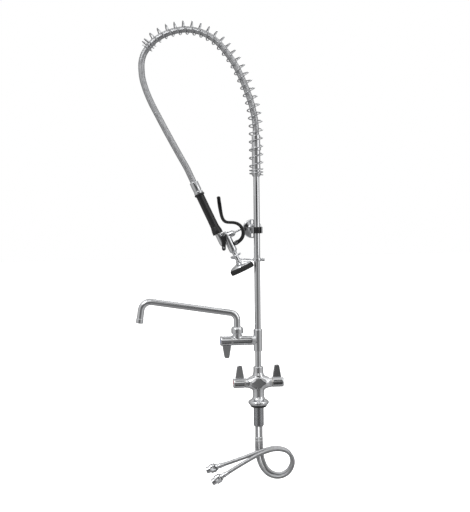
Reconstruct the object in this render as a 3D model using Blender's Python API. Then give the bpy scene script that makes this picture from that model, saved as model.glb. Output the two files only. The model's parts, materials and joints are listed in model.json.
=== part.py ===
"""A deck mounted pre-rinse faucet: two-handle base, add-on faucet with swing spout, riser, overhead
spring, spray hose and hand spray valve held in its finger hook.

The origin is the centre of the deck gasket's underside, +Z runs up the riser, +X is the cold side
and -Y is the user's side. Sizes below are in millimetres, and mm turns them to metres.
"""

import math

import bmesh
import bpy
from mathutils import Matrix, Vector

for leftover in list(bpy.data.objects):
    bpy.data.objects.remove(leftover, do_unlink=True)

mm = 0.001
gap = 0.3  # between neighbours that touch on the real object

# Fineness of the round pieces
sides = 18
small_sides = 12
hidden_sides = 8

# Base casting on the deck
handle_axis_z = 64.7
body_end_x = 36.0
body_top_z = 107.0
flange_radius = 27.4
neck_radius = 15.0
hub_radius = 13.1
gasket_radius = 21.5
gasket_height = 4.2

# Shank and supply hoses below the deck
shank_radius = 13.4
shank_bottom_z = -51.0
inlet_spread = 5.6
inlet_tube_radius = 4.4
collar_radius = 5.2
collar_top_z = -81.0
hose_exit_z = -96.0
supply_hose_diameter = 10.4
nut_across_corners = 24.5

# Lever handles and their valves
handle_hub_radius = 13.3
handle_hub_length = 30.6
handle_lever_height = 33.0
cartridge_radius = 9.0
cartridge_depth = 24.0
stem_radius = 4.0

# Add-on faucet
pipe_radius = 8.0
pipe_bore = 6.2
tee_radius = 11.6
tee_bottom_z = 148.0
tee_top_z = 206.0
arm_axis_z = 177.3
arm_radius = 13.0
arm_end_x = -69.0
spout_axis_x = -54.5
outlet_radius = 12.0
outlet_top_z = 201.0
nut_bottom_z = 195.5
nut_top_z = 213.0
nut_radius = 15.8
spout_radius = 8.75
spout_bore = 7.2
spout_tip_radius = 9.5

# Riser and what is clamped to it
riser_bottom_z = 192.5
riser_top_z = 626.0
bracket_z = 465.0
bracket_height = 16.4
wall_distance = 90.0
wall_flange_radius = 25.5
hook_z = 388.0
hook_clamp_height = 8.6
hook_clamp_radius = 10.8
hook_rod_radius = 2.4

# Overhead spring and hose arch
arch_turn = 12.5  # degrees that the arch's left end is turned away from the user
adapter_radius = 11.0
adapter_top_z = 712.0
spray_hose_diameter = 16.6
spring_coil_radius = 17.0
spring_wire_radius = 1.6
spring_turns = 30
spring_points_per_turn = 8

# Hand spray valve, along its grip's axis
grip_top = (149.0, 558.4)  # left of the riser, above the deck
grip_lean = 25.0  # degrees from vertical
grip_length = 113.0
grip_radius = 10.8
barrel_offset = 17.0
barrel_radius = 10.4
neck_pipe_radius = 6.0
neck_end = 205.0
bumper_radius = 32.0
bonnet_station = 128.0
lever_pivot = (33.7, 154.3)  # towards the riser, along the axis
lever_width = 14.0
clip_pivot = (13.5, 121.5)

# The arch from the adapter to the grip's ferrule: left of the riser, above the deck
arch_route = [
    (0, 713), (0, 730), (4, 762), (13.6, 801.5), (31.2, 849), (53.8, 895.5), (84, 937.5), (109.5, 961.5),
    (143, 979), (182, 985.5), (225.5, 977.5), (260.5, 959), (285.5, 932), (295, 909), (296.6, 886),
    (294, 860), (285.5, 831), (272.5, 799), (255.8, 766), (238.5, 732.5), (220.6, 699), (200.4, 662),
    (181.4, 627.9), (173, 609.8), (164.55, 591.75),
]
# The spring's middle line, which stands off towards the outside of the arch
spring_route = [
    (0, 608), (0, 640), (0, 680), (0, 713), (0, 730), (2.8, 763), (10.8, 802.5), (27.4, 850.7), (49.6, 898),
    (80.6, 941), (107, 965.6), (141.4, 983.6), (182, 990.5), (227.4, 982.3), (263.9, 963), (283.5, 941.5),
]
spray_hose_pieces = 22
supply_hose_pieces = 19

# The two supply hoses' shared middle line: right, towards the user, up, then each hose's distance
# from it and the degrees that the pair has twisted from side by side to front and back
supply_route = [
    (0, 0, -96.6, 5.6, 0), (0.3, 0, -114, 5.6, 0), (2.2, 0, -131, 5.7, 4), (6.5, 0, -148, 5.7, 12),
    (14, 0.5, -163.5, 5.7, 24), (26.5, 2, -177, 5.7, 40), (43.5, 4, -184, 5.7, 56),
    (60.5, 7, -182.5, 5.7, 68), (75, 10, -173.5, 5.7, 76), (84, 13, -159, 5.7, 82),
    (86.3, 16, -143, 5.7, 86), (81, 18, -127, 5.7, 90), (69, 19.5, -115, 5.7, 94),
    (53, 20, -109.5, 5.7, 98), (34, 20, -108.8, 5.7, 102), (13, 20, -113.5, 5.7, 106),
    (-8, 19.5, -120.5, 6, 112), (-37, 18, -133.5, 7.8, 122), (-64, 16.5, -145.5, 10.2, 132),
    (-89.2, 15, -157, 13, 139),
]

# The lever's middle line: towards the riser, along the grip's axis, thickness
lever_route = [
    (41.5, 28.8, 6.5), (38.5, 38.5, 8.6), (34.2, 52.5, 8.6), (30.2, 67, 7.6), (28.0, 78, 7.2),
    (28.4, 87.5, 7.2), (32.8, 94.6, 7.2), (40.2, 99.2, 7.2), (48.2, 103.4, 7.2), (56, 109.6, 7.4),
    (61.2, 118, 7.6), (62.8, 127.6, 7.8), (61.2, 137, 8.2), (56.6, 145, 8.6), (49.6, 150.8, 9), (41, 153.8, 9.4),
]

# The finger hook's rod: left, towards the user, up
hook_route = [
    (11.6, 0, 388), (15, -0.6, 388.1), (26, -6.6, 388.6), (38, -10.6, 389), (50, -12, 389.6),
    (59, -10.4, 390.4), (65, -5.6, 391.6), (67, 0.6, 393), (65, 6.4, 395), (59.4, 10.8, 397.4),
    (52, 12, 400.6), (45, 11.2, 404), (41, 10, 406.4),
]

# The spout's middle line: the corners that its bends round off, left of its swivel and up
spout_corners = [(0, 203.2), (0, 248), (245.6, 288.2), (252.6, 241.6)]
spout_bend_radii = [21, 25]
spout_tip_length = 12.5


def material(name, colour, roughness, metallic=0.0):
    made = bpy.data.materials.new(name)
    made.use_nodes = True
    shader = made.node_tree.nodes["Principled BSDF"]
    shader.inputs["Base Color"].default_value = (*colour, 1.0)
    shader.inputs["Roughness"].default_value = roughness
    shader.inputs["Metallic"].default_value = metallic
    return made


chrome = material("chrome", (0.62, 0.62, 0.63), 0.08, 1.0)
brass = material("brass", (0.62, 0.43, 0.16), 0.3, 1.0)
steel = material("stainless_steel", (0.5, 0.5, 0.5), 0.25, 1.0)
braid = material("steel_braid", (0.42, 0.42, 0.42), 0.4, 1.0)
black_plastic = material("black_plastic", (0.02, 0.02, 0.02), 0.35)
rubber = material("black_rubber", (0.025, 0.025, 0.025), 0.6)
hot_red = material("hot_marker", (0.5, 0.02, 0.02), 0.3)
cold_blue = material("cold_marker", (0.02, 0.06, 0.4), 0.3)


def frame(name, location=(0, 0, 0), turn=(0, 0, 0), parent=None):
    """An empty that pieces are placed on; location in millimetres, turn in degrees."""
    made = bpy.data.objects.new(name, None)
    made.empty_display_size = 0.02
    bpy.context.scene.collection.objects.link(made)
    return place(made, location, turn, parent)


def place(piece, location=(0, 0, 0), turn=(0, 0, 0), parent=None):
    piece.location = Vector(location) * mm
    piece.rotation_euler = [math.radians(angle) for angle in turn]
    piece.parent = parent
    return piece


def solid(name, bm, look):
    """Closes the work on a bmesh and makes its object, smooth where it is round."""
    bmesh.ops.remove_doubles(bm, verts=bm.verts, dist=1e-6)
    bmesh.ops.recalc_face_normals(bm, faces=bm.faces)
    mesh = bpy.data.meshes.new(name)
    bm.to_mesh(mesh)
    bm.free()
    mesh.shade_smooth()
    mesh.set_sharp_from_angle(angle=math.radians(35))
    mesh.materials.append(look)
    made = bpy.data.objects.new(name, mesh)
    bpy.context.scene.collection.objects.link(made)
    return made


def turned(name, profile, look, facets=sides, seam=0.0):
    """A piece turned about its own Z. The profile gives radius and height; one that keeps off the
    axis is closed into a ring. The seam's angle keeps crossing pieces' facets out of line."""
    bm = bmesh.new()
    corners = [bm.verts.new((radius * mm, 0, height * mm)) for radius, height in profile]
    for start, end in zip(corners, corners[1:]):
        bm.edges.new((start, end))
    if profile[0][0] > 0:
        bm.edges.new((corners[-1], corners[0]))
    bmesh.ops.spin(bm, geom=bm.verts[:] + bm.edges[:], axis=(0, 0, 1), cent=(0, 0, 0),
                   angle=math.tau, steps=facets)
    bmesh.ops.rotate(bm, verts=bm.verts, cent=(0, 0, 0), matrix=Matrix.Rotation(math.radians(seam), 3, "Z"))
    return solid(name, bm, look)


def cutter(name, profile, facets=sides, seam=4.0):
    """A turned shape that only cuts."""
    return turned(name, profile, chrome, facets, seam)


def ring(inner, outer, low, high):
    """The profile of a plain ring or tube."""
    return [(inner, low), (outer, low), (outer, high), (inner, high)]


def rod(radius, low, high):
    """The profile of a plain round bar."""
    return [(0, low), (radius, low), (radius, high), (0, high)]


def slab(name, outline, half_width, look):
    """An outline in X and Z with the same thickness on both sides of Y = 0."""
    bm = bmesh.new()
    face = bm.faces.new([bm.verts.new((x * mm, -half_width * mm, z * mm)) for x, z in outline])
    raised = bmesh.ops.extrude_face_region(bm, geom=[face])
    moved = [item for item in raised["geom"] if isinstance(item, bmesh.types.BMVert)]
    bmesh.ops.translate(bm, vec=(0, 2 * half_width * mm, 0), verts=moved)
    return solid(name, bm, look)


def rounded(centre, radius, start, end, steps=4):
    """Points of an arc in an outline, angles in degrees."""
    angles = [math.radians(start + (end - start) * i / steps) for i in range(steps + 1)]
    return [(centre[0] + radius * math.cos(a), centre[1] + radius * math.sin(a)) for a in angles]


def combine(piece, other, operation):
    """Cuts other from piece, or joins it on, and hides it."""
    boolean = piece.modifiers.new(other.name, "BOOLEAN")
    boolean.operation = operation
    boolean.object = other
    other.hide_render = True
    other.display_type = "WIRE"
    return piece


def cut(piece, *tools):
    for tool in tools:
        combine(piece, tool, "DIFFERENCE")
    return piece


def join(piece, *others):
    for other in others:
        combine(piece, other, "UNION")
    return piece


def soften(piece, width, segments=1):
    bevel = piece.modifiers.new("soft_edges", "BEVEL")
    bevel.width = width * mm
    bevel.segments = segments
    bevel.limit_method = "ANGLE"
    bevel.angle_limit = math.radians(40)
    return piece


def smooth_line(route, count):
    """The ends of count equal pieces of a smooth curve through the route's points."""
    knots = [Vector(point) for point in route]
    ends = [2 * knots[0] - knots[1]] + knots + [2 * knots[-1] - knots[-2]]
    fine = []
    for a, b, c, d in zip(ends, ends[1:], ends[2:], ends[3:]):
        for i in range(24):
            t = i / 24
            fine.append(0.5 * (2 * b + (c - a) * t + (2 * a - 5 * b + 4 * c - d) * t * t
                               + (3 * b - a - 3 * c + d) * t ** 3))
    fine.append(knots[-1])
    travelled = [0.0]
    for a, b in zip(fine, fine[1:]):
        travelled.append(travelled[-1] + (b - a).length)
    points = []
    segment = 0
    for i in range(count + 1):
        wanted = travelled[-1] * i / count
        while segment < len(fine) - 2 and travelled[segment + 1] < wanted:
            segment += 1
        share = (wanted - travelled[segment]) / (travelled[segment + 1] - travelled[segment])
        points.append(fine[segment].lerp(fine[segment + 1], share))
    return points


def tube_along(name, points, radius, look, roundness=2):
    """A solid round bar along points in millimetres, with closed ends."""
    curve = bpy.data.curves.new(name, "CURVE")
    curve.dimensions = "3D"
    curve.bevel_depth = radius * mm
    curve.bevel_resolution = roundness
    curve.use_fill_caps = True
    spline = curve.splines.new("POLY")
    spline.points.add(len(points) - 1)
    for knot, point in zip(spline.points, points):
        knot.co = (*(Vector(point) * mm), 1.0)
    spline.use_smooth = True
    curve.materials.append(look)
    made = bpy.data.objects.new(name, curve)
    bpy.context.scene.collection.objects.link(made)
    return made


def swept_pipe(name, points, radius, bore, look, facets=small_sides):
    """A hollow pipe along points that lie in the plane Y = 0."""
    bm = bmesh.new()
    walls = []
    for i, point in enumerate(points):
        ahead = points[min(i + 1, len(points) - 1)] - points[max(i - 1, 0)]
        across = Vector((ahead.z, 0, -ahead.x)).normalized()
        rings = []
        for wall in (radius, bore):
            turn = [math.tau * k / facets for k in range(facets)]
            rings.append([bm.verts.new((point + across * (wall * math.cos(a))
                                        + Vector((0, wall * math.sin(a), 0))) * mm) for a in turn])
        walls.append(rings)
    for before, after in zip(walls, walls[1:]):
        for wall in (0, 1):
            for k in range(facets):
                bm.faces.new((before[wall][k], before[wall][k - 1], after[wall][k - 1], after[wall][k]))
    for rings in (walls[0], walls[-1]):
        for k in range(facets):
            bm.faces.new((rings[0][k], rings[0][k - 1], rings[1][k - 1], rings[1][k]))
    return solid(name, bm, look)


# Base casting, gasket and shank

def base_casting():
    upright = turned("base_body", [
        (0, gasket_height + gap), (gasket_radius, gasket_height + gap), (25.6, 8), (flange_radius, 11.4),
        (flange_radius, 14), (25.4, 17), (20.5, 19.4), (17, 22.6), (neck_radius, 28), (neck_radius, 40),
        (16.4, 46), (17, handle_axis_z), (15.6, 84), (hub_radius + 0.4, 91), (hub_radius, 96),
        (hub_radius, body_top_z), (0, body_top_z)], chrome)
    half = [(body_end_x, handle_hub_radius), (30, 13.6), (25, 15), (17, 18.4), (9, 21.6)]
    spindle = turned("casting_spindle", [(0, -body_end_x)] + [(r, -x) for x, r in half]
                     + [(r, x) for x, r in reversed(half)] + [(0, body_end_x)], chrome, seam=5)
    place(spindle, (0, 0, handle_axis_z), (0, 90, 0))
    join(upright, spindle)
    cutters = [
        cutter("riser_socket", rod(pipe_radius + gap, 92, body_top_z + 1)),
        cutter("base_water_way", rod(5, handle_axis_z, 93), hidden_sides, 7),
        cutter("shank_socket", rod(11.5, 0, 24)),
    ]
    for side, name in ((-1, "hot"), (1, "cold")):
        bore = cutter(name + "_valve_bore", rod(cartridge_radius + gap, 11, body_end_x + 1))
        cutters.append(place(bore, (0, 0, handle_axis_z), (0, 90 * side, 0)))
    return cut(upright, *cutters)


base_casting()
turned("deck_gasket", [
    (shank_radius + gap, 0), (gasket_radius - 2.5, 0), (gasket_radius, 2.2),
    (gasket_radius, gasket_height), (shank_radius + gap, gasket_height)], rubber)
turned("mounting_shank", [
    (10.5, shank_bottom_z), (shank_radius - 1.6, shank_bottom_z), (shank_radius, shank_bottom_z + 3),
    (shank_radius, gasket_height - gap), (11, gasket_height - gap), (11, 23.6), (8.5, 23.6),
    (8.5, -2.5), (10.5, -2.5)], chrome)


# Supply side below the deck

def supply_line(side):
    """One hose's middle line; side is -1 for the hot hose and 1 for the cold one."""
    middle = [Vector((x, -front, z)) for x, front, z, _, _ in supply_route]
    line = []
    for i, (_, _, _, distance, twist) in enumerate(supply_route):
        ahead = middle[min(i + 1, len(middle) - 1)] - middle[max(i - 1, 0)]
        inward = Vector((-ahead.z, 0, ahead.x)).normalized()
        angle = math.radians(twist)
        aside = inward * math.cos(angle) + Vector((0, 1, 0)) * math.sin(angle)
        line.append(middle[i] + aside * distance * side)
    return smooth_line(line, supply_hose_pieces)


def hose_end_frame(name, line):
    """A frame at the hose's far end whose Z runs on along the hose."""
    heading = (line[-1] - line[-2]).normalized()
    turn = heading.to_track_quat("Z", "Y").to_euler()
    return frame(name, line[-1], [math.degrees(angle) for angle in turn])


def coupling_nut(name, end):
    """A hexagon nut with a round skirt and an open thread bore, free to turn on its ferrule."""
    nut = turned(name, [
        (6.4, 24.2), (10.6, 24.2), (12.2, 25.8), (12.2, 37), (10.8, 38.6), (8.9, 38.8), (8.9, 49.2),
        (8.4, 50), (7.3, 50), (7.3, 31.5), (6.4, 31.5)], chrome)
    hexagon = turned(name + "_hexagon", rod(nut_across_corners / 2, 20, 60), chrome, 6)
    combine(nut, hexagon, "INTERSECT")
    place(nut, parent=end)
    place(hexagon, parent=end)


for side, name in ((-1, "hot"), (1, "cold")):
    at = (side * inlet_spread, 0, 0)
    place(turned(name + "_inlet_tube", ring(3.1, inlet_tube_radius, collar_top_z + gap, -2.8), chrome,
                 small_sides), at)
    place(turned(name + "_hose_collar", [
        (3.1, hose_exit_z), (collar_radius, hose_exit_z), (collar_radius, -90), (4.8, -89.6),
        (4.8, -88.4), (collar_radius, -88), (collar_radius, collar_top_z + 2), (4.6, collar_top_z),
        (3.1, collar_top_z)], chrome, small_sides), at)
    line = supply_line(side)
    tube_along(name + "_supply_hose", line, supply_hose_diameter / 2, braid)
    end = hose_end_frame(name + "_hose_end", line)
    place(turned(name + "_hose_ferrule", [
        (3, gap), (5.9, gap), (5.9, 10), (7.6, 10.4), (7.6, 13.2), (5.9, 13.6), (5.9, 18.6),
        (8.8, 19), (8.8, 22.8), (5.9, 23.2), (5.9, 32), (6.8, 32.1), (6.8, 34.5), (3, 34.5)],
        chrome, small_sides), parent=end)
    coupling_nut(name + "_coupling_nut", end)


# Valves and lever handles

def valve(name, location, turn, marker):
    """A cartridge, its stem and a lever handle, outwards along the frame's Z with the lever to +X."""
    axis = frame(name + "_handle_axis", location, turn)
    nose = handle_hub_length
    cartridge = turned(name + "_cartridge", [
        (4.3, -cartridge_depth), (cartridge_radius, -cartridge_depth), (cartridge_radius, 2),
        (8.2, 2.2), (8.2, 7), (4.3, 7)], brass)
    stem = turned(name + "_stem", [
        (0, -18), (stem_radius, -18), (stem_radius, 8), (3.6, 8.4), (3.6, 16), (2.2, 16), (2.2, 10),
        (0, 10)], brass, hidden_sides)
    hub = turned(name + "_handle", [
        (10.6, 0.5), (12.9, 0.5), (handle_hub_radius, 1.2), (handle_hub_radius, nose - 3.4),
        (12.7, nose - 1.4), (11.4, nose), (9.3, nose), (9.3, nose - 3), (5.6, nose - 3),
        (5.6, nose - 10), (2.3, nose - 10), (2.3, 17), (3.9, 17), (3.9, 9), (10.6, 9)], chrome)
    top = handle_hub_radius + handle_lever_height
    outline = [(11.9, 1.4), (11.9, 25), (13.5, 24.9), (top - 6, 20.6)]
    outline += rounded((top - 5.4, 15), 5.4, 80, 10)
    outline += [(top - 0.6, 8), (top - 1.6, 6.8), (13.5, 1.5)]
    lever = soften(slab(name + "_lever_plate", outline, 3.1, chrome), 0.9)
    join(hub, lever)
    screw = turned(name + "_handle_screw", [
        (0, 10.4), (1.9, 10.4), (1.9, nose - 9.7), (4.8, nose - 9.7), (4.8, nose - 7.4), (4, nose - 6.6),
        (0, nose - 6.6)], steel, hidden_sides)
    cap = turned(name + "_index_cap", [
        (0, nose - 2.7), (9, nose - 2.7), (9, nose - 0.4), (7.6, nose + 0.3), (0, nose + 0.7)], marker)
    for piece in (cartridge, stem, hub, lever, screw, cap):
        piece.parent = axis


valve("hot", (-body_end_x, 0, handle_axis_z), (0, -90, 0), hot_red)
valve("cold", (body_end_x, 0, handle_axis_z), (0, -90, 180), cold_blue)
valve("addon", (arm_end_x, 0, arm_axis_z), (0, 90, 180), cold_blue)


# Add-on faucet and swing spout

def addon_body():
    body = turned("addon_tee", [
        (0, tee_bottom_z), (tee_radius - 0.8, tee_bottom_z), (tee_radius, tee_bottom_z + 1),
        (tee_radius, tee_top_z - 1), (tee_radius - 0.8, tee_top_z), (0, tee_top_z)], chrome)
    arm_profile = [(0, 0), (tee_radius - 1, 0), (arm_radius, 16), (arm_radius, -arm_end_x), (0, -arm_end_x)]
    arm = turned("addon_arm", arm_profile, chrome, seam=3)
    outlet = turned("addon_outlet", rod(outlet_radius, arm_axis_z, outlet_top_z), chrome, seam=5)
    join(body, place(arm, (0, 0, arm_axis_z), (0, -90, 0)), place(outlet, (spout_axis_x, 0, 0)))
    riser_joint = cutter("riser_joint", rod(pipe_radius + gap, riser_bottom_z - gap, tee_top_z + 1))
    nipple_joint = cutter("nipple_joint", rod(pipe_radius + gap, tee_bottom_z - 1, 162))
    water_way = cutter("tee_water_way", rod(5.6, 160, riser_bottom_z), hidden_sides, 6)
    valve_bore = cutter("addon_valve_bore", rod(cartridge_radius + gap, 43, 1 - arm_end_x))
    arm_way = cutter("addon_water_way", rod(4.6, 0, 44), hidden_sides, 9)
    outlet_bore = cutter("outlet_bore", rod(7.6, arm_axis_z, outlet_top_z + 1), seam=2)
    place(outlet_bore, (spout_axis_x, 0, 0))
    for piece in (valve_bore, arm_way):
        place(piece, (0, 0, arm_axis_z), (0, -90, 0))
    return cut(body, riser_joint, nipple_joint, water_way, valve_bore, arm_way, outlet_bore)


def bent_line(corners, radii, steps=6):
    """A line through the corners, each inner corner rounded off by an arc."""
    points = [corners[0]]
    for before, corner, after, radius in zip(corners, corners[1:], corners[2:], radii):
        back = (before - corner).normalized()
        on = (after - corner).normalized()
        half_angle = back.angle(on) / 2
        centre = corner + (back + on).normalized() * (radius / math.sin(half_angle))
        first = corner + back * (radius / math.tan(half_angle)) - centre
        for i in range(steps + 1):
            swing = Matrix.Rotation((math.pi - 2 * half_angle) * i / steps, 3, on.cross(back))
            points.append(centre + swing @ first)
    return points + [corners[-1]]


addon_body()
turned("lower_nipple", ring(pipe_bore, pipe_radius, 92.4, 161.7), chrome)
place(turned("swivel_nut", [
    (outlet_radius + 0.6, nut_bottom_z), (nut_radius - 1.4, nut_bottom_z), (nut_radius, nut_bottom_z + 2.6),
    (nut_radius, nut_top_z - 4.4), (nut_radius - 2.6, nut_top_z), (spout_radius + 0.5, nut_top_z),
    (spout_radius + 0.5, 209.2), (outlet_radius + 0.6, 209.2)], chrome), (spout_axis_x, 0, 0))
place(turned("spout_seal", ring(7.6, 11.6, outlet_top_z + gap, 202.8), rubber), (spout_axis_x, 0, 0))


def spout():
    """The bent spout pipe with its retaining collar, and the ring at its outlet."""
    swivel = frame("spout_swivel", (spout_axis_x, 0, 0))
    corners = [Vector((-left, 0, up)) for left, up in spout_corners]
    pipe = swept_pipe("spout", bent_line(corners, spout_bend_radii), spout_radius, spout_bore, chrome)
    collar = turned("spout_collar", ring(8, 11.6, 203.2, 208.8), chrome)
    tip = turned("spout_tip", [
        (6.9, gap), (spout_tip_radius - 0.7, gap), (spout_tip_radius, 1.2),
        (spout_tip_radius, spout_tip_length - 0.8), (spout_tip_radius - 0.7, spout_tip_length),
        (6.9, spout_tip_length)], chrome, 20)
    lean = math.degrees(math.atan2(corners[-2].x - corners[-1].x, corners[-2].z - corners[-1].z))
    join(pipe, collar)
    place(pipe, parent=swivel)
    place(collar, parent=swivel)
    place(tip, corners[-1], (0, 180 + lean, 0), swivel)


spout()


# Riser, spring seat and hose adapter

turned("riser", ring(pipe_bore, pipe_radius, riser_bottom_z, riser_top_z), chrome)
turned("spring_seat", [
    (pipe_radius + gap, 604), (9.6, 604), (13, 611.5), (13, 616), (pipe_radius + gap, 616)], chrome)
turned("hose_adapter", [
    (pipe_radius + gap, 616.3), (adapter_radius, 616.3), (adapter_radius, 671), (13, 672), (13, 679),
    (adapter_radius, 680), (adapter_radius, adapter_top_z - 1.5), (adapter_radius - 1.5, adapter_top_z),
    (5.5, adapter_top_z), (5.5, riser_top_z + gap), (pipe_radius + gap, riser_top_z + gap)], chrome)


# Wall bracket

def wall_bracket():
    half = bracket_height / 2
    place(turned("bracket_bush", ring(pipe_radius + gap, 12, -half, half), black_plastic),
          (0, 0, bracket_z))
    clamp = turned("bracket_clamp", ring(12.3, 15, -half, half), chrome)
    boss = turned("clamp_boss", rod(7.4, 12.9, 24), chrome, seam=5)
    window = slab("clamp_window", [(-10.4, -20), (10.4, -20), (10.4, 20), (-10.4, 20)], 15, chrome)
    bore = cutter("clamp_bore", rod(6.5, 15.9, 30), small_sides)
    join(clamp, boss)
    cut(clamp, window, bore)
    place(clamp, (0, 0, bracket_z))
    for piece in (boss, bore):
        place(piece, (0, 0, bracket_z), (-90, 0, 0))
    place(window, (0, -15, bracket_z))
    rod_end = wall_distance - 6
    place(turned("bracket_rod", rod(6, 16.3, rod_end), chrome, small_sides), (0, 0, bracket_z),
          (-90, 0, 0))
    flange = turned("wall_flange", [
        (0, rod_end + gap), (6.3, rod_end + gap), (6.3, wall_distance - 16), (10, wall_distance - 16),
        (11, wall_distance - 14), (11.6, wall_distance - 5.5), (wall_flange_radius - 2, wall_distance - 4.5),
        (wall_flange_radius, wall_distance - 2.5), (wall_flange_radius, wall_distance),
        (0, wall_distance)], chrome)
    place(flange, (0, 0, bracket_z), (-90, 0, 0))
    for side in (-1, 1):
        slot = slab("wall_slot", rounded((0, 20), 2.9, 0, 180) + rounded((0, 15), 2.9, 180, 360), 20,
                    chrome)
        place(slot, (0, wall_distance, bracket_z), (0, 90 - 90 * side, 0))
        cut(flange, slot)


wall_bracket()


# Everything in the arch's plane: X to the left, Y to the user, Z up

arch = frame("arch_plane", turn=(0, 0, 180 - arch_turn))


def overhead_spring():
    """A right-handed open coil round the riser's top and the first part of the hose."""
    count = spring_turns * spring_points_per_turn
    middle = smooth_line([(left, 0, up) for left, up in spring_route], count)
    points = []
    for i, point in enumerate(middle):
        ahead = (middle[min(i + 1, count)] - middle[max(i - 1, 0)]).normalized()
        outward = Vector((-ahead.z, 0, ahead.x))
        angle = math.tau * i / spring_points_per_turn
        aside = outward * math.cos(angle) + ahead.cross(outward) * math.sin(angle)
        points.append(point + aside * spring_coil_radius)
    return tube_along("overhead_spring", points, spring_wire_radius, steel, roundness=1)


def finger_hook():
    half = hook_clamp_height / 2
    collar = turned("hook_clamp", ring(pipe_radius + 0.45, hook_clamp_radius, -half, half), chrome)
    screw_hole = cutter("hook_screw_hole", rod(2.5, 5, 15), hidden_sides)
    cut(collar, screw_hole)
    screw = turned("hook_screw", [
        (0, pipe_radius + gap), (2, pipe_radius + gap), (2, 11.2), (3.4, 11.2), (4.4, 12.6), (4.4, 19),
        (3.4, 20), (0, 20)], chrome, small_sides)
    place(collar, (0, 0, hook_z), parent=arch)
    for piece in (screw_hole, screw):
        place(piece, (0, 0, hook_z), (0, -90, 0), arch)
    place(tube_along("finger_hook", smooth_line(hook_route, 24), hook_rod_radius, chrome), parent=arch)


place(overhead_spring(), parent=arch)
spray_line = smooth_line([(left, 0, up) for left, up in arch_route], spray_hose_pieces)
place(tube_along("spray_hose", spray_line, spray_hose_diameter / 2, braid), parent=arch)
finger_hook()


# The hand spray valve: X towards the riser, Y to the user, Z along the grip away from the hose

spray = frame("spray_valve", (grip_top[0], 0, grip_top[1]), (0, 180 + grip_lean, 0), arch)


def grip_and_ferrule():
    ferrule = turned("grip_ferrule", [
        (4.4, -36.5), (10.2, -36.5), (11.2, -35), (11.2, -12), (10.5, -11.4), (10.5, -9), (11.8, -8.4),
        (11.8, -2.8), (6, -2.8), (6, grip_length - gap), (4.4, grip_length - gap)], chrome, 20)
    grip = turned("grip", [
        (6.3, -2.5), (12.4, -2.5), (13.4, -1.6), (13.4, 1.8), (12.4, 2.8), (grip_radius, 3.6),
        (grip_radius, 70), (11.2, 92), (13.4, 104), (13.6, grip_length), (6.3, grip_length)],
        black_plastic, 20)
    place(ferrule, parent=spray)
    place(grip, parent=spray)


def valve_body():
    """Inlet boss, barrel and neck in one casting, bored through, with the lever's lug."""
    barrel = turned("valve_body", [
        (0, 115), (5, 115.6), (8.6, 118), (barrel_radius, 122), (barrel_radius, 168), (9.6, 171.5),
        (7, 173.5), (neck_pipe_radius, 178), (neck_pipe_radius, neck_end - gap), (0, neck_end - gap)],
        chrome, 20)
    place(barrel, (barrel_offset, 0, 0), parent=spray)
    inlet = turned("valve_inlet", [
        (0, grip_length + gap), (8.6, grip_length + gap), (8.6, 138), (7.4, 144.5), (4.4, 149),
        (0, 150.4)], chrome, 20, 5)
    boss = turned("bonnet_boss", rod(8, barrel_offset, 33), chrome, 20, 3)
    mount = turned("clip_boss", rod(4.2, 0, 11.2), chrome, small_sides, 7)
    pivot_x, pivot_z = lever_pivot
    lug = slab("lever_lug", [(21, 148.5)] + rounded((pivot_x, pivot_z), 5.2, -90, 90)
               + [(21, 160.5)], 3.5, chrome)
    cavity = cutter("valve_cavity", rod(7, 120, 168), small_sides)
    neck_bore = cutter("neck_bore", rod(3.6, 167, neck_end + 1), hidden_sides, 9)
    inlet_bore = cutter("inlet_bore", rod(4.4, grip_length - 1, 132), hidden_sides, 2)
    cross_bore = cutter("cross_bore", rod(3.8, 0, barrel_offset), hidden_sides, 11)
    thread = cutter("bonnet_thread", rod(6.5, barrel_offset, 34), small_sides, 6)
    pin_hole = cutter("lug_pin_hole", rod(2.8, -10, 10), hidden_sides)
    clip_hole = cutter("clip_screw_hole", rod(2, 8.6, 13), hidden_sides)
    join(barrel, inlet, boss, mount, lug)
    cut(barrel, cavity, neck_bore, inlet_bore, cross_bore, thread, pin_hole, clip_hole)
    for piece in (inlet, lug, inlet_bore):
        place(piece, parent=spray)
    for piece in (cavity, neck_bore):
        place(piece, (barrel_offset, 0, 0), parent=spray)
    for piece in (boss, thread):
        place(piece, (0, 0, bonnet_station), (0, 90, 0), spray)
    place(cross_bore, (0, 0, 126), (0, 90, 0), spray)
    place(pin_hole, (pivot_x, 0, pivot_z), (-90, 0, 0), spray)
    for piece in (mount, clip_hole):
        place(piece, (clip_pivot[0], 0, clip_pivot[1]), (-90, 0, 0), spray)


def plunger_and_bonnet():
    """The push rod that the lever presses, its bonnet, washer and return spring."""
    axis = frame("plunger_axis", (0, 0, bonnet_station), (0, 90, 0), spray)
    bonnet = turned("bonnet", [
        (4.9, 23.6), (5.9, 23.6), (5.9, 33.3), (8, 33.3), (8, 36.8), (6.8, 37.4), (5.2, 41), (2.55, 41),
        (2.55, 39.3), (4.9, 39.3)], chrome, 20)
    plunger = turned("plunger", [
        (0, 20.3), (2.2, 20.3), (2.2, 37.4), (4.5, 37.4), (4.5, 38.8), (2.2, 38.8), (2.2, 57.6),
        (1.4, 58.4), (0, 58.4)], steel, hidden_sides)
    washer = turned("seat_washer", rod(4.2, 17.4, 20), rubber, hidden_sides)
    turns, points_per_turn = 5, 8
    steps = turns * points_per_turn
    coil = [(3.7 * math.cos(math.tau * i / points_per_turn), 3.7 * math.sin(math.tau * i / points_per_turn),
             28.8 + 7.9 * i / steps) for i in range(steps + 1)]
    spring = tube_along("return_spring", coil, 0.5, steel, roundness=0)
    for piece in (bonnet, plunger, washer, spring):
        place(piece, parent=axis)


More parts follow.
